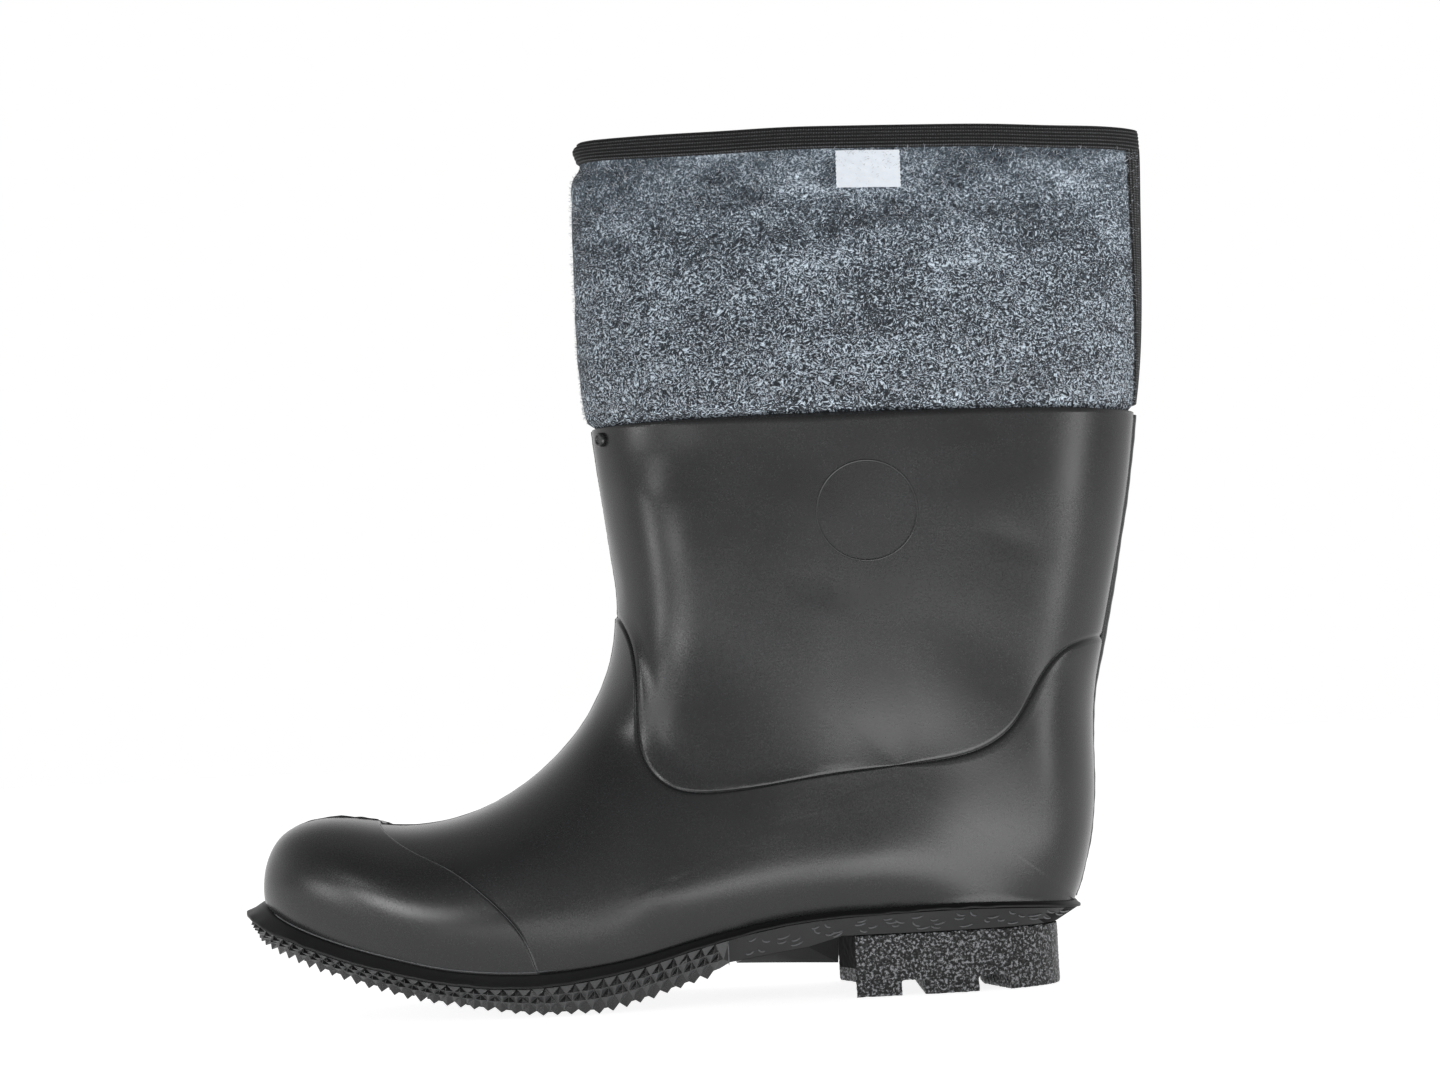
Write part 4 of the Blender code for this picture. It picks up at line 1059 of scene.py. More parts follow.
def build_ring():
    """Plain raised circle on the outer side of the shaft."""
    rings = []
    for offset, lift in RING_PROFILE:
        radius = RING_RADIUS + offset
        places = [locate(RING_PLACE[0] + radius * math.cos(angle), RING_PLACE[1] + radius * math.sin(angle))
                  for angle in circle(RING_STEPS)]
        turns, stations = np.array(places).T
        rings.append(lifted(stations, turns, OUTER, lift - SHAFT_SET_BACK))
    add_piece(loft_mesh("shaft_ring", np.stack(rings, axis=1), closed=True), "rubber", [RUBBER])


FINE_TURNS = np.linspace(0, math.pi, 600)
WELT_TURNS = np.linspace(0, math.pi, 181)
WELT_WAVE = 0.18
WELT_WAVE_SIZE = 9.0
WELT_HOLLOW = 0.25


def welt_top(turns):
    """Height of the welt's upper face at angles round the foot."""
    return feather_z(outline("welt_top", OUTER, turns)[0]) - WELT_GAP


def welt_bottom(turns):
    x = outline("rim", OUTER, turns)[0]
    return welt_top(turns) - spline(WELT["x"], WELT["height"], x) + toe_slim(x)


def toe_slim(x):
    return np.interp(x, TOE_SLIM["x"], TOE_SLIM["less"])


def under_welt(x):
    """Height of the welt's lower face along the foot."""
    return np.interp(x, outline("rim", OUTER, FINE_TURNS)[0], welt_bottom(FINE_TURNS))


def round_foot(kind, height):
    """Closed loop round the foot: outer side to the heel, inner side back to the toe."""
    loops = []
    for side, turns in ((OUTER, WELT_TURNS), (INNER, WELT_TURNS[-2:0:-1])):
        x, y = outline(kind, side, turns)
        loops.append(np.stack([x, y, height(turns)], axis=-1))
    return np.concatenate(loops)


def build_welt():
    """Sloped skirt round the foot, its rim slightly uneven from the mould."""
    up = np.array([0.0, 0.0, 1.0])
    top = round_foot("welt_top", welt_top)
    foot = round_foot("rim", welt_bottom)
    rim = round_foot("rim", lambda turns: welt_bottom(turns) + WELT_EDGE)
    ragged = WELT_WAVE * ripple(rim, WELT_WAVE_SIZE, 5)[:, None] * up
    middle = top * 0.5 + rim * 0.5 - WELT_HOLLOW * up
    loops = [round_foot("insole", welt_top), top, top * 0.8 + middle * 0.2, middle,
             rim * 0.9 + middle * 0.1 + ragged, rim + ragged, foot * 0.6 + rim * 0.4 + ragged,
             foot + ragged * 0.5, round_foot("insole", welt_bottom)]
    size = len(top)
    faces = grid_faces(len(loops), size, wrap=True)
    for start in (0, (len(loops) - 1) * size):
        for i in range(size // 2):
            rung = dict.fromkeys([i, i + 1, (size - i - 1) % size, (size - i) % size])
            faces.append([start + k for k in rung])
    add_piece(clean_mesh("welt_skin", np.concatenate(loops), faces), "rubber", [WELT_RUBBER], "welt")


PACKED_WELD = 1e-5
FLAT_ANGLE = math.radians(0.5)


def welded_copy(name):
    """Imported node's mesh as bmesh, welded, with its flat faces joined."""
    bm = bmesh.new()
    bm.from_mesh(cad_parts[name].data)
    bmesh.ops.remove_doubles(bm, verts=bm.verts, dist=PACKED_WELD)
    bmesh.ops.dissolve_limit(bm, angle_limit=FLAT_ANGLE, verts=bm.verts, edges=bm.edges)
    return bm


def bevel(piece, width, segments, angle):
    """Soften the edges that turn by more than an angle in degrees."""
    edges = piece.modifiers.new("soft_edges", "BEVEL")
    edges.width = width
    edges.segments = segments
    edges.limit_method = "ANGLE"
    edges.angle_limit = math.radians(angle)


# Tread, as heights over its lowest line: bars below the first, teeth below the second, studs above
BAR_TOP = 0.2
TOOTH_TOP = 1.5
BAR_LIFT = 1.1
TIP_DROP = 0.75
TOOTH_GRAIN = 300.0
STUD_GRAIN = 420.0
STUD_JITTER = 0.0002
TREAD_END = 176.0
TREAD_MARGIN = 0.5
FLAT_PLACE = 96.0
FLAT_SPREAD = 24.0
FLAT_SHARE = 0.75
FACES_DOWN = -0.7
FACES_LOW = -0.12
ROCKER = table(
    "x z",
    (0, 32.0), (5, 28.6), (18, 22.0), (34, 16.2), (49, 11.4), (63, 7.4), (78, 4.4), (92, 2.1), (106, 0.3),
    (115, -0.4), (126, -0.3), (136, 1.1), (148, 3.8), (162, 7.8), (178, 12.2),
)


def rocker_z(x):
    """Height of the tread's lowest line along the foot."""
    return max(0.0, float(spline(ROCKER["x"], ROCKER["z"], x)))


def shape_tread(vertex, x):
    """Stretch a point of the tread up to the welt, and make bars, teeth and studs uneven."""
    above = vertex.co.z / MM - rocker_z(x)
    if above > 0:
        depth = under_welt(x) - rocker_z(x)
        vertex.co.z += above * toe_slim(x) / (depth - toe_slim(x)) * MM
    if above < BAR_TOP:
        vertex.co.z += BAR_LIFT * MM
    elif above < TOOTH_TOP:
        flat = 1 - FLAT_SHARE * math.exp(-((x - FLAT_PLACE) / FLAT_SPREAD) ** 2)
        uneven = 0.75 + 0.5 * noise.noise(vertex.co * TOOTH_GRAIN)
        vertex.co.z = max(0.0, vertex.co.z - TIP_DROP * flat * uneven * MM)
    else:
        vertex.co += noise.noise_vector(vertex.co * STUD_GRAIN) * STUD_JITTER


def build_outsole():
    """Studded tread, plain waist and heel seat; painted shade under the waist, painted light on the tread's
    faces turned down.
    """
    bm = welded_copy("outsole")
    for vertex in bm.verts:
        x = vertex.co.x / MM - SHIFT[0]
        if x < TREAD_END - TREAD_MARGIN:
            shape_tread(vertex, x)
    mesh = to_mesh("outsole_skin", bm)
    mesh.set_sharp_from_angle(angle=math.radians(15))
    # Behind the tread, faces turned well down take painted shade; in the tread, faces turned towards the
    # floor take painted light
    for face in mesh.polygons:
        if face.center.x > (TREAD_END + SHIFT[0]) * MM:
            face.material_index = 2 if face.normal.z < FACES_DOWN else 1
        elif face.normal.z < FACES_LOW:
            face.material_index = 3
    piece = add_piece(mesh, "tread_rubber", [TREAD, WALL_RUBBER, PAINTED_SHADE_RUBBER, PAINTED_LIGHT_TREAD], "outsole")
    bevel(piece, 0.00012, 1, 25)


HEEL_VOXEL = 0.0006
PEBBLE = 0.0014
PEBBLE_RISE = 0.0004
LUG_HEIGHT = 0.005
BREAST_DEPTH = 0.009
BREAST_REACH = 0.024
FACES_FRONT = -0.4


def hollow_breast(places):
    """Heel's front face curved in between its corners."""
    front = places[:, 0].min()
    edge = places[places[:, 0] < front + BREAST_REACH / 4, 1]
    low, high = edge.min(), edge.max()
    across = np.clip((2 * places[:, 1] - low - high) / (high - low), -1, 1)
    deep = smooth(1 - (places[:, 0] - front) / BREAST_REACH)
    places[:, 0] += BREAST_DEPTH * (1 - across ** 2) * deep


def vertex_values(mesh, key):
    """Places or normals of a mesh's vertices."""
    values = np.empty(3 * len(mesh.vertices))
    mesh.vertices.foreach_get(key, values)
    return values.reshape(-1, 3)


def move_vertices(mesh, places):
    mesh.vertices.foreach_set("co", places.ravel())
    mesh.update()


def build_heel():
    """Heel block with a pebbled skin, its front face above the lugs in painted shade."""
    raw = add_object("heel_raw", to_mesh("heel_raw", welded_copy("heel")))
    remesh = raw.modifiers.new("even", "REMESH")
    remesh.mode = "VOXEL"
    remesh.voxel_size = HEEL_VOXEL
    graph = bpy.context.evaluated_depsgraph_get()
    mesh = bpy.data.meshes.new_from_object(raw.evaluated_get(graph))
    bpy.data.objects.remove(raw)
    mesh.name = "heel_skin"
    places = vertex_values(mesh, "co")
    hollow_breast(places)
    move_vertices(mesh, places)
    near = np.array([noise.voronoi(Vector(place) / PEBBLE)[0][0] for place in places])
    places += vertex_values(mesh, "normal") * (PEBBLE_RISE * (0.5 - near))[:, None]
    places[:, 2] = np.maximum(places[:, 2], 0.0)
    move_vertices(mesh, places)
    mesh.shade_smooth()
    # Painted shade on the heel's front face above the lugs
    for face in mesh.polygons:
        face.material_index = int(face.normal.x < FACES_FRONT and face.center.z > LUG_HEIGHT)
    add_piece(mesh, "tread_rubber", [PEBBLED, PAINTED_SHADE_RUBBER], "heel")


def build_insole():
    mesh = to_mesh("insole_pad", welded_copy("insole"))
    mesh.set_sharp_from_angle(angle=math.radians(35))
    bevel(add_piece(mesh, "insole_board", [BOARD], "insole"), 0.001, 3, 40)


TUBE_SIDES = 8
TUBE_TAPER = 0.35


def add_tube(bm, path, out, radius):
    """Thin round line along a path of points, tapered at both ends."""
    run = unit(np.gradient(path, axis=0))
    up = unit(np.cross(np.broadcast_to(out, path.shape), run))
    out = np.cross(run, up)
    sizes = np.broadcast_to(radius, len(path)).astype(float)
    sizes[[0, -1]] *= TUBE_TAPER
    rings = []
    for k, (point, size) in enumerate(zip(path, sizes)):
        rings.append([bm.verts.new(in_frame(point + size * (math.cos(a) * up[k] + math.sin(a) * out[k])))
                      for a in circle(TUBE_SIDES)])
    for first, second in zip(rings, rings[1:]):
        for i in range(TUBE_SIDES):
            j = (i + 1) % TUBE_SIDES
            bm.faces.new((first[i], first[j], second[j], second[i]))
    bm.faces.new(rings[0][::-1])
    bm.faces.new(rings[-1])


DASH_LENGTH = (2.6, 4.4)
DASH_RADIUS = 0.3
DASH_RANGE = (181.0, 292.0)
DASH_STEP = 5.2
DASH_SHARES = (0.22, 0.4, 0.58, 0.76)
DASH_TILT = (-0.25, 0.5)
DASH_BOW = 0.5
WALL_HEIGHT = 8.0


def wall_point(x, share, side):
    """Point on the waist and seat wall, share running down from its top."""
    foot_x, foot_y = outline("waist_foot", side, FINE_TURNS)
    turn = np.interp(x, foot_x, FINE_TURNS)
    top_x, top_y = (np.interp(turn, FINE_TURNS, line) for line in outline("waist_top", side, FINE_TURNS))
    top = np.array([top_x, top_y, under_welt(top_x) - SEAT_GAP])
    foot = np.array([x, np.interp(turn, FINE_TURNS, foot_y), np.interp(x, WAIST["x"], WAIST["z"])])
    return top + (foot - top) * share


def build_dashes():
    """Short curved dashes moulded on the waist and heel seat walls, in loose pairs, in a lighter rubber as
    painted highlights.
    """
    rng = np.random.default_rng(11)
    bm = bmesh.new()
    for side in (OUTER, INNER):
        x = DASH_RANGE[0]
        while x < DASH_RANGE[1]:
            for share in rng.choice(DASH_SHARES, size=2, replace=False):
                add_dash(bm, x + rng.uniform(-1.5, 1.5), share, side, rng)
            x += DASH_STEP * rng.uniform(0.8, 1.2)
    bmesh.ops.recalc_face_normals(bm, faces=bm.faces)
    # Lighter rubber paints the dashes' highlights
    add_piece(to_mesh("wall_dashes", bm), "tread_rubber", [FLASH_HIGHLIGHT_RUBBER])


def add_dash(bm, x, share, side, rng):
    length = rng.uniform(*DASH_LENGTH)
    tilt = rng.uniform(*DASH_TILT)
    path = []
    for t in np.linspace(-0.5, 0.5, 7):
        drop = (tilt * length * t + DASH_BOW * (1 - 4 * t * t)) / WALL_HEIGHT
        path.append(wall_point(x + length * t, np.clip(share + drop, 0.05, 0.95), side))
    add_tube(bm, np.array(path), np.array([0.0, side, 0.0]), DASH_RADIUS)


BEAD_RANGE = (11.0, 118.0)
BEAD_RADIUS = 0.32
CAP_HIGHLIGHT_TURNS = np.linspace(0.12, 2.95, 120)
CAP_HIGHLIGHT_RADIUS = 0.22
CAP_HIGHLIGHT_RISE = 0.7 * CAP_RAISE
END_LINE_RADIUS = 0.3
END_LINE_BACK = 0.4
END_LINE_TOP = 0.6
END_LINE_FOOT = 2.4


def tread_end_line(side):
    """Upright line on the sole's wall where the tread ends."""
    x = TREAD_END - END_LINE_BACK
    lines = (outline(kind, side, FINE_TURNS) for kind in ("tread_top", "tread_foot"))
    top, foot = (np.interp(TREAD_END, *line) for line in lines)
    high, low = under_welt(x) - END_LINE_TOP, rocker_z(x) + END_LINE_FOOT
    return np.array([(x, top + (foot - top) * t, high + (low - high) * t) for t in np.linspace(0, 1, 5)])


def build_flash_highlight_lines(edges):
    """Thin moulding lines over the welt at the toe, on the cap's rear edge and at the tread's end, in a
    lighter rubber as painted highlights.
    """
    bm = bmesh.new()
    stations = station_line(CAP_LINE, CAP_HIGHLIGHT_TURNS)
    cap_radius = CAP_HIGHLIGHT_RADIUS * (0.4 + 0.6 * np.abs(np.cos(CAP_HIGHLIGHT_TURNS)))
    for side, edge in zip((OUTER, INNER), edges):
        out = np.array([0.0, side, 0.0])
        # Bead, cap edge line and tread end line: lighter rubber, painted highlights
        add_tube(bm, edge[(edge[:, 0] > BEAD_RANGE[0]) & (edge[:, 0] < BEAD_RANGE[1])], out, BEAD_RADIUS)
        add_tube(bm, lifted(stations, CAP_HIGHLIGHT_TURNS, side, CAP_HIGHLIGHT_RISE), out, cap_radius)
        add_tube(bm, tread_end_line(side), np.array([1.0, 0.0, 0.0]), END_LINE_RADIUS)
    bmesh.ops.recalc_face_normals(bm, faces=bm.faces)
    add_piece(to_mesh("flash_highlight_lines", bm), "rubber", [FLASH_HIGHLIGHT_RUBBER])


FELT_SIDE_COLUMNS = 90
FELT_ROWS = 76
TUCK_ROWS = (26.6, 27.2, 27.8, 28.4, 29.0)
TUCK_LIFT = 0.6
# The felt's unevenness: height, size and seed of its waves
FELT_WAVES = ((0.32, 60.0, 8), (0.1, 9.0, 9))


def felt_grid(angles, sides, inside):
    """Rows of points up the felt leg, from inside the rubber to its top."""
    rows = [ring_points(tucked_ring(s, inside), angles, sides) for s in TUCK_ROWS]
    rows.append(ring_points(tucked_ring(COLLAR, inside), angles, sides, TUCK_LIFT))
    for f in np.linspace(0, FELT_TOP, FELT_ROWS):
        rows.append(ring_points(felt_ring(f, inside=inside), angles, sides))
    return np.array(rows)


FELT_FRONT = ring_points(felt_ring(FELT_TOP), np.array([math.pi]), OUTER)[0]
# Front edge under the tape: shift back, and the height over which it fades
DRAWN_IN = (2.0, 2.4)
# Bulge below it: shift ahead, depth below the tape, half height, and how far round both reach
BULGE = 0.7
BULGE_BELOW = 7.5
BULGE_HALF = 4.0
DRAW_REACH = 6.0


def front_draw(points):
    """Shift of the felt's front edge: drawn in at the tape, fuller below it."""
    below = FELT_FRONT[2] - TAPE_HEIGHT - points[..., 2]
    drawn = DRAWN_IN[0] * np.exp(-(np.maximum(below, 0) / DRAWN_IN[1]) ** 2)
    drawn = drawn - BULGE * np.exp(-((below - BULGE_BELOW) / BULGE_HALF) ** 2)
    return drawn * np.exp(-((points[..., 0] - FELT_FRONT[0]) / DRAW_REACH) ** 2)


def build_felt():
    """Felt leg: thick soft wall, a little uneven, pinched under the tape and over the rubber."""
    angles, sides = full_ring(FELT_SIDE_COLUMNS)
    outside, inside = (felt_grid(angles, sides, face) for face in (False, True))
    outward = outside - outside.mean(axis=1, keepdims=True)
    outward[..., 2] = 0
    free = np.concatenate([np.zeros(len(TUCK_ROWS) + 1), smooth(np.linspace(0, 9, FELT_ROWS))])
    uneven = sum(height * ripple(outside, size, seed) for height, size, seed in FELT_WAVES)
    outside = outside + unit(outward) * (free[:, None] * uneven)[..., None]
    outside[..., 0] += front_draw(outside)
    loops = np.concatenate([outside, inside[::-1]]).transpose(1, 0, 2)
    add_piece(loft_mesh("felt_leg", loops, closed=True), "felt", [FELT_CLOTH], "felt_shaft")


FUZZ_COUNT = 22000
FUZZ_LENGTH = (0.9, 2.6)
FUZZ_WIDTH = 0.07
FUZZ_ROOT = 0.3
FUZZ_RINGS = (0.15, FELT_TOP - 0.9)
FUZZ_BANDS = 8
SEAM_TURN = 0.12
FELT_MIDDLE = (237.0, 0.0)


def even_angles(f, share):
    """Angles at shares of the way round the felt's rings, clear of the back seam."""
    turns = np.linspace(0, math.pi, 400)
    angles = np.empty(len(f))
    band = np.round(f * FUZZ_BANDS) / FUZZ_BANDS
    for level in np.unique(band):
        run = lengths(ring_points(felt_ring(level), turns, INNER))
        chosen = band == level
        angles[chosen] = np.interp(share[chosen] * run[-1], run, turns)
    return np.clip(angles, SEAM_TURN, math.pi)


def felt_normal(f, angles, side, root):
    """Outward direction of the felt at points on its rings."""
    beside = ring_points(felt_ring(f), np.clip(angles + 0.01, 0, math.pi), side)
    above = ring_points(felt_ring(f + 0.02), angles, side)
    normal = unit(np.cross(beside - root, above - root))
    inward = np.sum(normal[:, :2] * (root[:, :2] - FELT_MIDDLE), axis=1) < 0
    normal[inward] *= -1
    return normal


def build_fuzz():
    """Loose fibres standing out of the felt's outer face."""
    rng = np.random.default_rng(21)
    f = rng.uniform(*FUZZ_RINGS, FUZZ_COUNT)
    side = rng.choice([OUTER, INNER], FUZZ_COUNT)
    angles = even_angles(f, rng.uniform(0, 1, FUZZ_COUNT))
    root = ring_points(felt_ring(f), angles, side)
    normal = felt_normal(f, angles, side, root)
    root[:, 0] += front_draw(root)
    length = rng.uniform(*FUZZ_LENGTH, FUZZ_COUNT)[:, None]
    lean = rng.normal(size=(FUZZ_COUNT, 3))
    lean = unit(lean - np.sum(lean * normal, axis=1, keepdims=True) * normal)
    middle = root + length * (0.45 * normal + 0.3 * lean)
    tip = root + length * (0.55 * normal + 0.85 * lean)
    wide = np.cross(normal, lean) * FUZZ_WIDTH
    root = root - normal * FUZZ_ROOT
    points = np.stack([root - wide, root + wide, middle - wide, middle + wide, tip], axis=1)
    faces = []
    for a in range(0, 5 * FUZZ_COUNT, 5):
        faces += [(a, a + 1, a + 3, a + 2), (a + 2, a + 3, a + 4)]
    mesh = bpy.data.meshes.new("felt_fuzz")
    mesh.from_pydata(in_frame(points.reshape(-1, 3)).tolist(), [], faces)
    add_piece(mesh, "felt", [FIBRE])


TAPE_RIBS = 5
RIB_RISE = 0.24
RIB_POWER = 0.7
RIB_STEPS = 8
TAPE_EDGE = 0.5
TAPE_COLUMNS = 100
TAPE_WAVE = 0.22
TAPE_WAVE_SIZE = 42.0
# Front corner of the tape: height below the top, shift back, lift, and how far back both reach
TAPE_CORNER = table(
    "below back lift",
    (0.0, 1.3, 0.7), (0.8, 0.45, 0.8), (1.8, 0.0, 0.9), (3.2, 0.0, 1.1), (5.0, 0.8, 1.3), (8.0, 2.3, 1.7),
)
CORNER_BACK = 4.5
CORNER_LIFT = 24.0


def ribbed(share, ribs):
    """Rise of a tape's ribs at shares of its width."""
    return RIB_RISE * np.abs(np.sin(math.pi * ribs * share)) ** RIB_POWER


def tape_path():
    """Section of the top tape: (height below the felt's top, grow, inner face, lift over it)."""
    far = TAPE_GAP + TAPE_THICK
    path = []
    for share in np.linspace(0, 1, RIB_STEPS * TAPE_RIBS + 1):
        edge = TAPE_EDGE * (1 - smooth(share * 12))
        path.append((TAPE_HEIGHT * (1 - share), far - RIB_RISE + ribbed(share, TAPE_RIBS) - edge, 0.0, 0.0))
    for angle in np.linspace(0, math.pi, 13)[1:-1]:
        path.append((0.0, far, (1 - math.cos(angle)) / 2, far * math.sin(angle) ** 0.6))
    for share in np.linspace(1, 0, 16):
        path.append((TAPE_HEIGHT * (1 - share), far, 1.0, 0.0))
    return path + [(TAPE_HEIGHT, TAPE_GAP, across, 0.0) for across in (1.0, 0.0)]


def build_top_tape():
    """Ribbed tape folded over the felt's top edge, drawn in a little by its stitching."""
    angles, sides = full_ring(TAPE_COLUMNS)
    path = tape_path()
    loops = []
    for below, grow, across, lift in path:
        f = FELT_TOP - below / FELT_LAST_STEP
        outer = ring_points(felt_ring(f, grow), angles, sides, lift)
        inner = ring_points(felt_ring(f, -grow, True), angles, sides, lift)
        loops.append(outer + (inner - outer) * across)
    sections = np.array(loops).transpose(1, 0, 2)
    sections[..., 2] += TAPE_WAVE * ripple(sections[:, :1] * np.array([1, 1, 0]), TAPE_WAVE_SIZE, 14)
    ahead = sections[..., 0] - sections[..., 0].min()
    below = [step[0] for step in path]
    back, lift = (np.interp(below, TAPE_CORNER["below"], TAPE_CORNER[key]) for key in ("back", "lift"))
    sections[..., 0] += back * np.exp(-(ahead / CORNER_BACK) ** 2)
    sections[..., 2] += lift * np.exp(-(ahead / CORNER_LIFT) ** 2)
    add_piece(loft_mesh("top_tape", sections, closed=True), "tape", [TAPE], "top_binding")


BACK_TAPE_SIDE = 6.5
BACK_TAPE_ROWS = 70
BACK_TAPE_RIBS = 6
BACK_TAPE_SINK = 0.3
UNDER_TOP_TAPE = 1.0


def seam_angle(f, distance):
    """Angle on a felt ring at a distance round from the back seam."""
    fine = np.linspace(0, 1, 300)
    return np.interp(distance, lengths(ring_points(felt_ring(f), fine, OUTER)), fine)


def build_back_tape():
    """Ribbed tape folded over the felt's back seam, narrowing into the rubber."""
    share = np.linspace(-1, 1, RIB_STEPS * BACK_TAPE_RIBS + 1)
    sides = np.where(share < 0, OUTER, INNER)
    rise = ribbed(share, BACK_TAPE_RIBS) - TAPE_EDGE * fade(np.abs(share), 0.9, 0.1)
    top = FELT_TOP - (TAPE_HEIGHT - UNDER_TOP_TAPE) / FELT_LAST_STEP
    sections = []
    for f in np.linspace(0.02, top, BACK_TAPE_ROWS):
        side_width = BACK_TAPE_SIDE * (0.8 + 0.2 * smooth(f / 1.2))
        angles = np.abs(share) * seam_angle(f, side_width)
        plain = ring_points(felt_ring(f, TAPE_GAP + TAPE_THICK - RIB_RISE), angles, sides)
        inner = ring_points(felt_ring(f, TAPE_GAP - BACK_TAPE_SINK), angles, sides)
        sections.append(np.concatenate([plain + unit(plain - inner) * rise[:, None], inner[::-1]]))
    add_piece(loft_mesh("back_tape", np.array(sections)), "tape", [TAPE], "back_binding")


LABEL_CORNER = np.array([229.3, 306.6])
LABEL_SIZE = (23.5, 14.6)
LABEL_TILT = math.radians(-1.95)
LABEL_THICK = 0.45
LABEL_GRID = (28, 18)
PINK_DEPTH = 0.12


def build_label():
    """Blank woven label sewn in under the tape, its free edge standing off a little."""
    columns, rows = LABEL_GRID
    across = np.array([math.cos(LABEL_TILT), math.sin(LABEL_TILT)])
    down = np.array([math.sin(LABEL_TILT), -math.cos(LABEL_TILT)])
    front, back = [], []
    for j in range(rows + 1):
        for i in range(columns + 1):
            u, v = i / columns, j / rows
            pinked = PINK_DEPTH * ((j % 2) * 2 - 1) if i in (0, columns) else 0.0
            x, z = LABEL_CORNER + across * (LABEL_SIZE[0] * u + pinked) + down * LABEL_SIZE[1] * v
            lift = 0.35 + 0.55 * v * v + 0.25 * v * abs(2 * u - 1) ** 3
            back.append(felt_side(x, z, lift))
            front.append(felt_side(x, z, lift + LABEL_THICK))
    wide, size = columns + 1, len(front)
    faces = grid_faces(rows + 1, wide) + grid_faces(rows + 1, wide, size, flip=True)
    rim = list(range(wide))
    rim += [j * wide + columns for j in range(1, rows + 1)]
    rim += [rows * wide + i for i in range(columns - 1, -1, -1)]
    rim += [j * wide for j in range(rows - 1, 0, -1)]
    for a, b in zip(rim, rim[1:] + rim[:1]):
        faces.append((a, b, b + size, a + size))
    mesh = clean_mesh("blank_label", np.array(front + back), faces)
    mesh.set_sharp_from_angle(angle=math.radians(50))
    add_piece(mesh, "woven_label", [LABEL_CLOTH], "label")


STUD_PLACE = (137.7, 205.6)
STUD_SEAT = 0.55
STUD_PROFILE = ((2.6, -0.9), (2.65, 0.2), (2.55, 0.75), (2.3, 1.1), (1.95, 1.22), (1.7, 1.12), (1.5, 0.8),
                (1.35, 0.62), (0.9, 0.58), (0.45, 0.62), (0.02, 0.64))
STUD_STEPS = 48


def build_front_stud():
    """Round rivet head with a dished face."""
    turn, s = (np.array([value]) for value in locate(*STUD_PLACE))
    axis = upper_normal(s, turn, OUTER)[0]
    seat = lifted(s, turn, OUTER, STUD_SEAT - SHAFT_SET_BACK)[0]
    level = unit(np.cross(axis, (0, 0, 1.0)))
    up = np.cross(level, axis)
    around = circle(STUD_STEPS)
    ring = np.cos(around)[:, None] * level + np.sin(around)[:, None] * up
    sections = np.array([seat + ring * radius + axis * rise for radius, rise in STUD_PROFILE])
    add_piece(loft_mesh("rivet_head", sections), "stud_rubber", [RUBBER], "front_stud")


CAMERA_PLACE = (179.9, -1000.0, 95.7)
CAMERA_PITCH = math.radians(4.1)
CAMERA_ROLL = math.radians(2.87)
CAMERA_LENS = 67.38


def add_camera():
    """Camera at the photograph's place, tipped up a little and rolled."""
    ahead = Vector((0, math.cos(CAMERA_PITCH), math.sin(CAMERA_PITCH)))
    level, rise = Vector((1, 0, 0)), Vector((0, -math.sin(CAMERA_PITCH), math.cos(CAMERA_PITCH)))
    up = rise * math.cos(CAMERA_ROLL) + level * math.sin(CAMERA_ROLL)
    right = level * math.cos(CAMERA_ROLL) - rise * math.sin(CAMERA_ROLL)
    turned = Matrix((right, up, -ahead)).transposed().to_4x4()
    camera = add_object("camera", bpy.data.cameras.new("camera"))
    camera.data.lens = CAMERA_LENS
    camera.matrix_world = Matrix.Translation(Vector(in_frame(CAMERA_PLACE))) @ turned
    bpy.context.scene.camera = camera


# Soft lights, in the frame's metres: place, target, size, watts and spread in degrees
LIGHTS = {
    "floor_glow": ((0.15, -1.82, 0.002), (0.15, -1.82, 1.0), (0.8, 3.0), 24.0, 180.0),
    "heel_card": ((0.25, -0.27, 0.001), (0.25, -0.27, 1.0), (0.4, 0.26), 1.0, 180.0),
    "left_strip": ((-1.47, -0.85, 0.2), (0.0, 0.0, 0.12), (0.25, 0.45), 2.2, 180.0),
    "right_strip": ((1.43, -0.93, 0.2), (0.05, 0.0, 0.12), (0.25, 0.7), 2.8, 180.0),
    "cap_soft": ((-0.455, -0.482, 0.158), (-0.12, 0.0, 0.04), (0.3, 0.16), 0.045, 30.0),
    "shin_soft": ((-0.43, -0.376, 0.371), (-0.017, -0.029, 0.108), (0.1, 0.15), 0.008, 24.0),
}


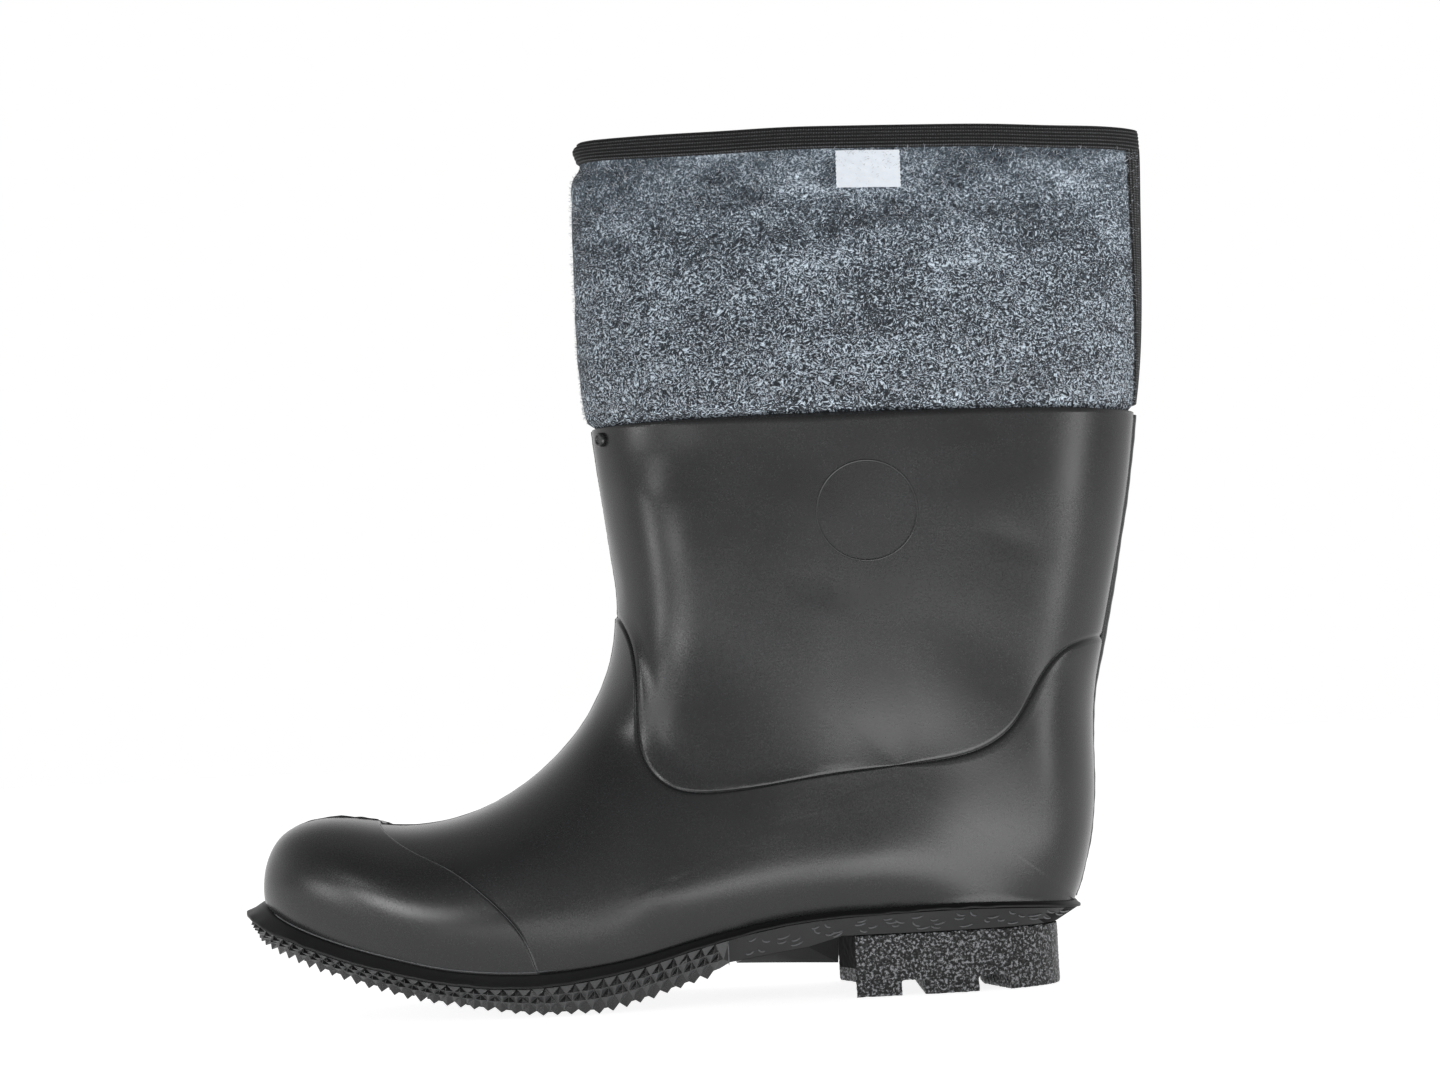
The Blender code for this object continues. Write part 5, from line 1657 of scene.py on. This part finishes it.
def add_light(name, place, target, size, energy, spread):
    """Soft rectangular light aimed at a point."""
    data = bpy.data.lights.new(name, "AREA")
    data.shape = "RECTANGLE"
    data.size, data.size_y = size
    data.energy = energy
    data.spread = math.radians(spread)
    aim = (Vector(target) - Vector(place)).to_track_quat("-Z", "Y")
    add_object(name, data).matrix_world = Matrix.Translation(Vector(place)) @ aim.to_matrix().to_4x4()


def add_world():
    """White surroundings behind the boot, darker overhead and on the viewer's side."""
    world = bpy.data.worlds.new("studio")
    bpy.context.scene.world = world
    world.use_nodes = True
    tree = world.node_tree
    axes = node(tree, "SeparateXYZ", {"Vector": node(tree, "TexCoord").outputs["Generated"]}).outputs
    overhead = mapped(tree, axes["Z"], 0.35, 0.8, 1.0, 0.4)
    before = mapped(tree, axes["Y"], -0.3, 0.2, 0.5, 1.0)
    background = tree.nodes["Background"].inputs
    tree.links.new(maths(tree, "MULTIPLY", overhead, before), background["Strength"])
    background["Color"].default_value = (1, 1, 1, 1)


FLOOR_HALF = 12.0
FLOOR_DROP = 0.0001


def add_floor():
    """Plain pale floor."""
    made, tree, shader, place = new_material("pale_floor", Roughness=0.9, Specular_IOR_Level=0.1,
                                              Emission_Color=(1, 1, 1, 1), Emission_Strength=0.87)
    paint(tree, shader, noise_of(tree, place, 8.0), (0.2, 0.46), (0.8, 0.48))
    corners = [(x * FLOOR_HALF, y * FLOOR_HALF, -FLOOR_DROP) for x, y in ((-1, -1), (1, -1), (1, 1), (-1, 1))]
    mesh = bpy.data.meshes.new("floor")
    mesh.from_pydata(corners, [], [(0, 1, 2, 3)])
    mesh.materials.append(made)
    floor = add_object("floor", mesh)


def add_stage():
    add_camera()
    add_world()
    add_floor()
    for name, values in LIGHTS.items():
        add_light(name, *values)
    bpy.context.scene.view_settings.view_transform = "Standard"


FEATHER_EDGES = build_upper()
build_seams()
build_ring()
build_welt()
build_outsole()
build_heel()
build_insole()
build_dashes()
build_flash_highlight_lines(FEATHER_EDGES)
build_felt()
build_fuzz()
build_top_tape()
build_back_tape()
build_label()
build_front_stud()
add_stage()
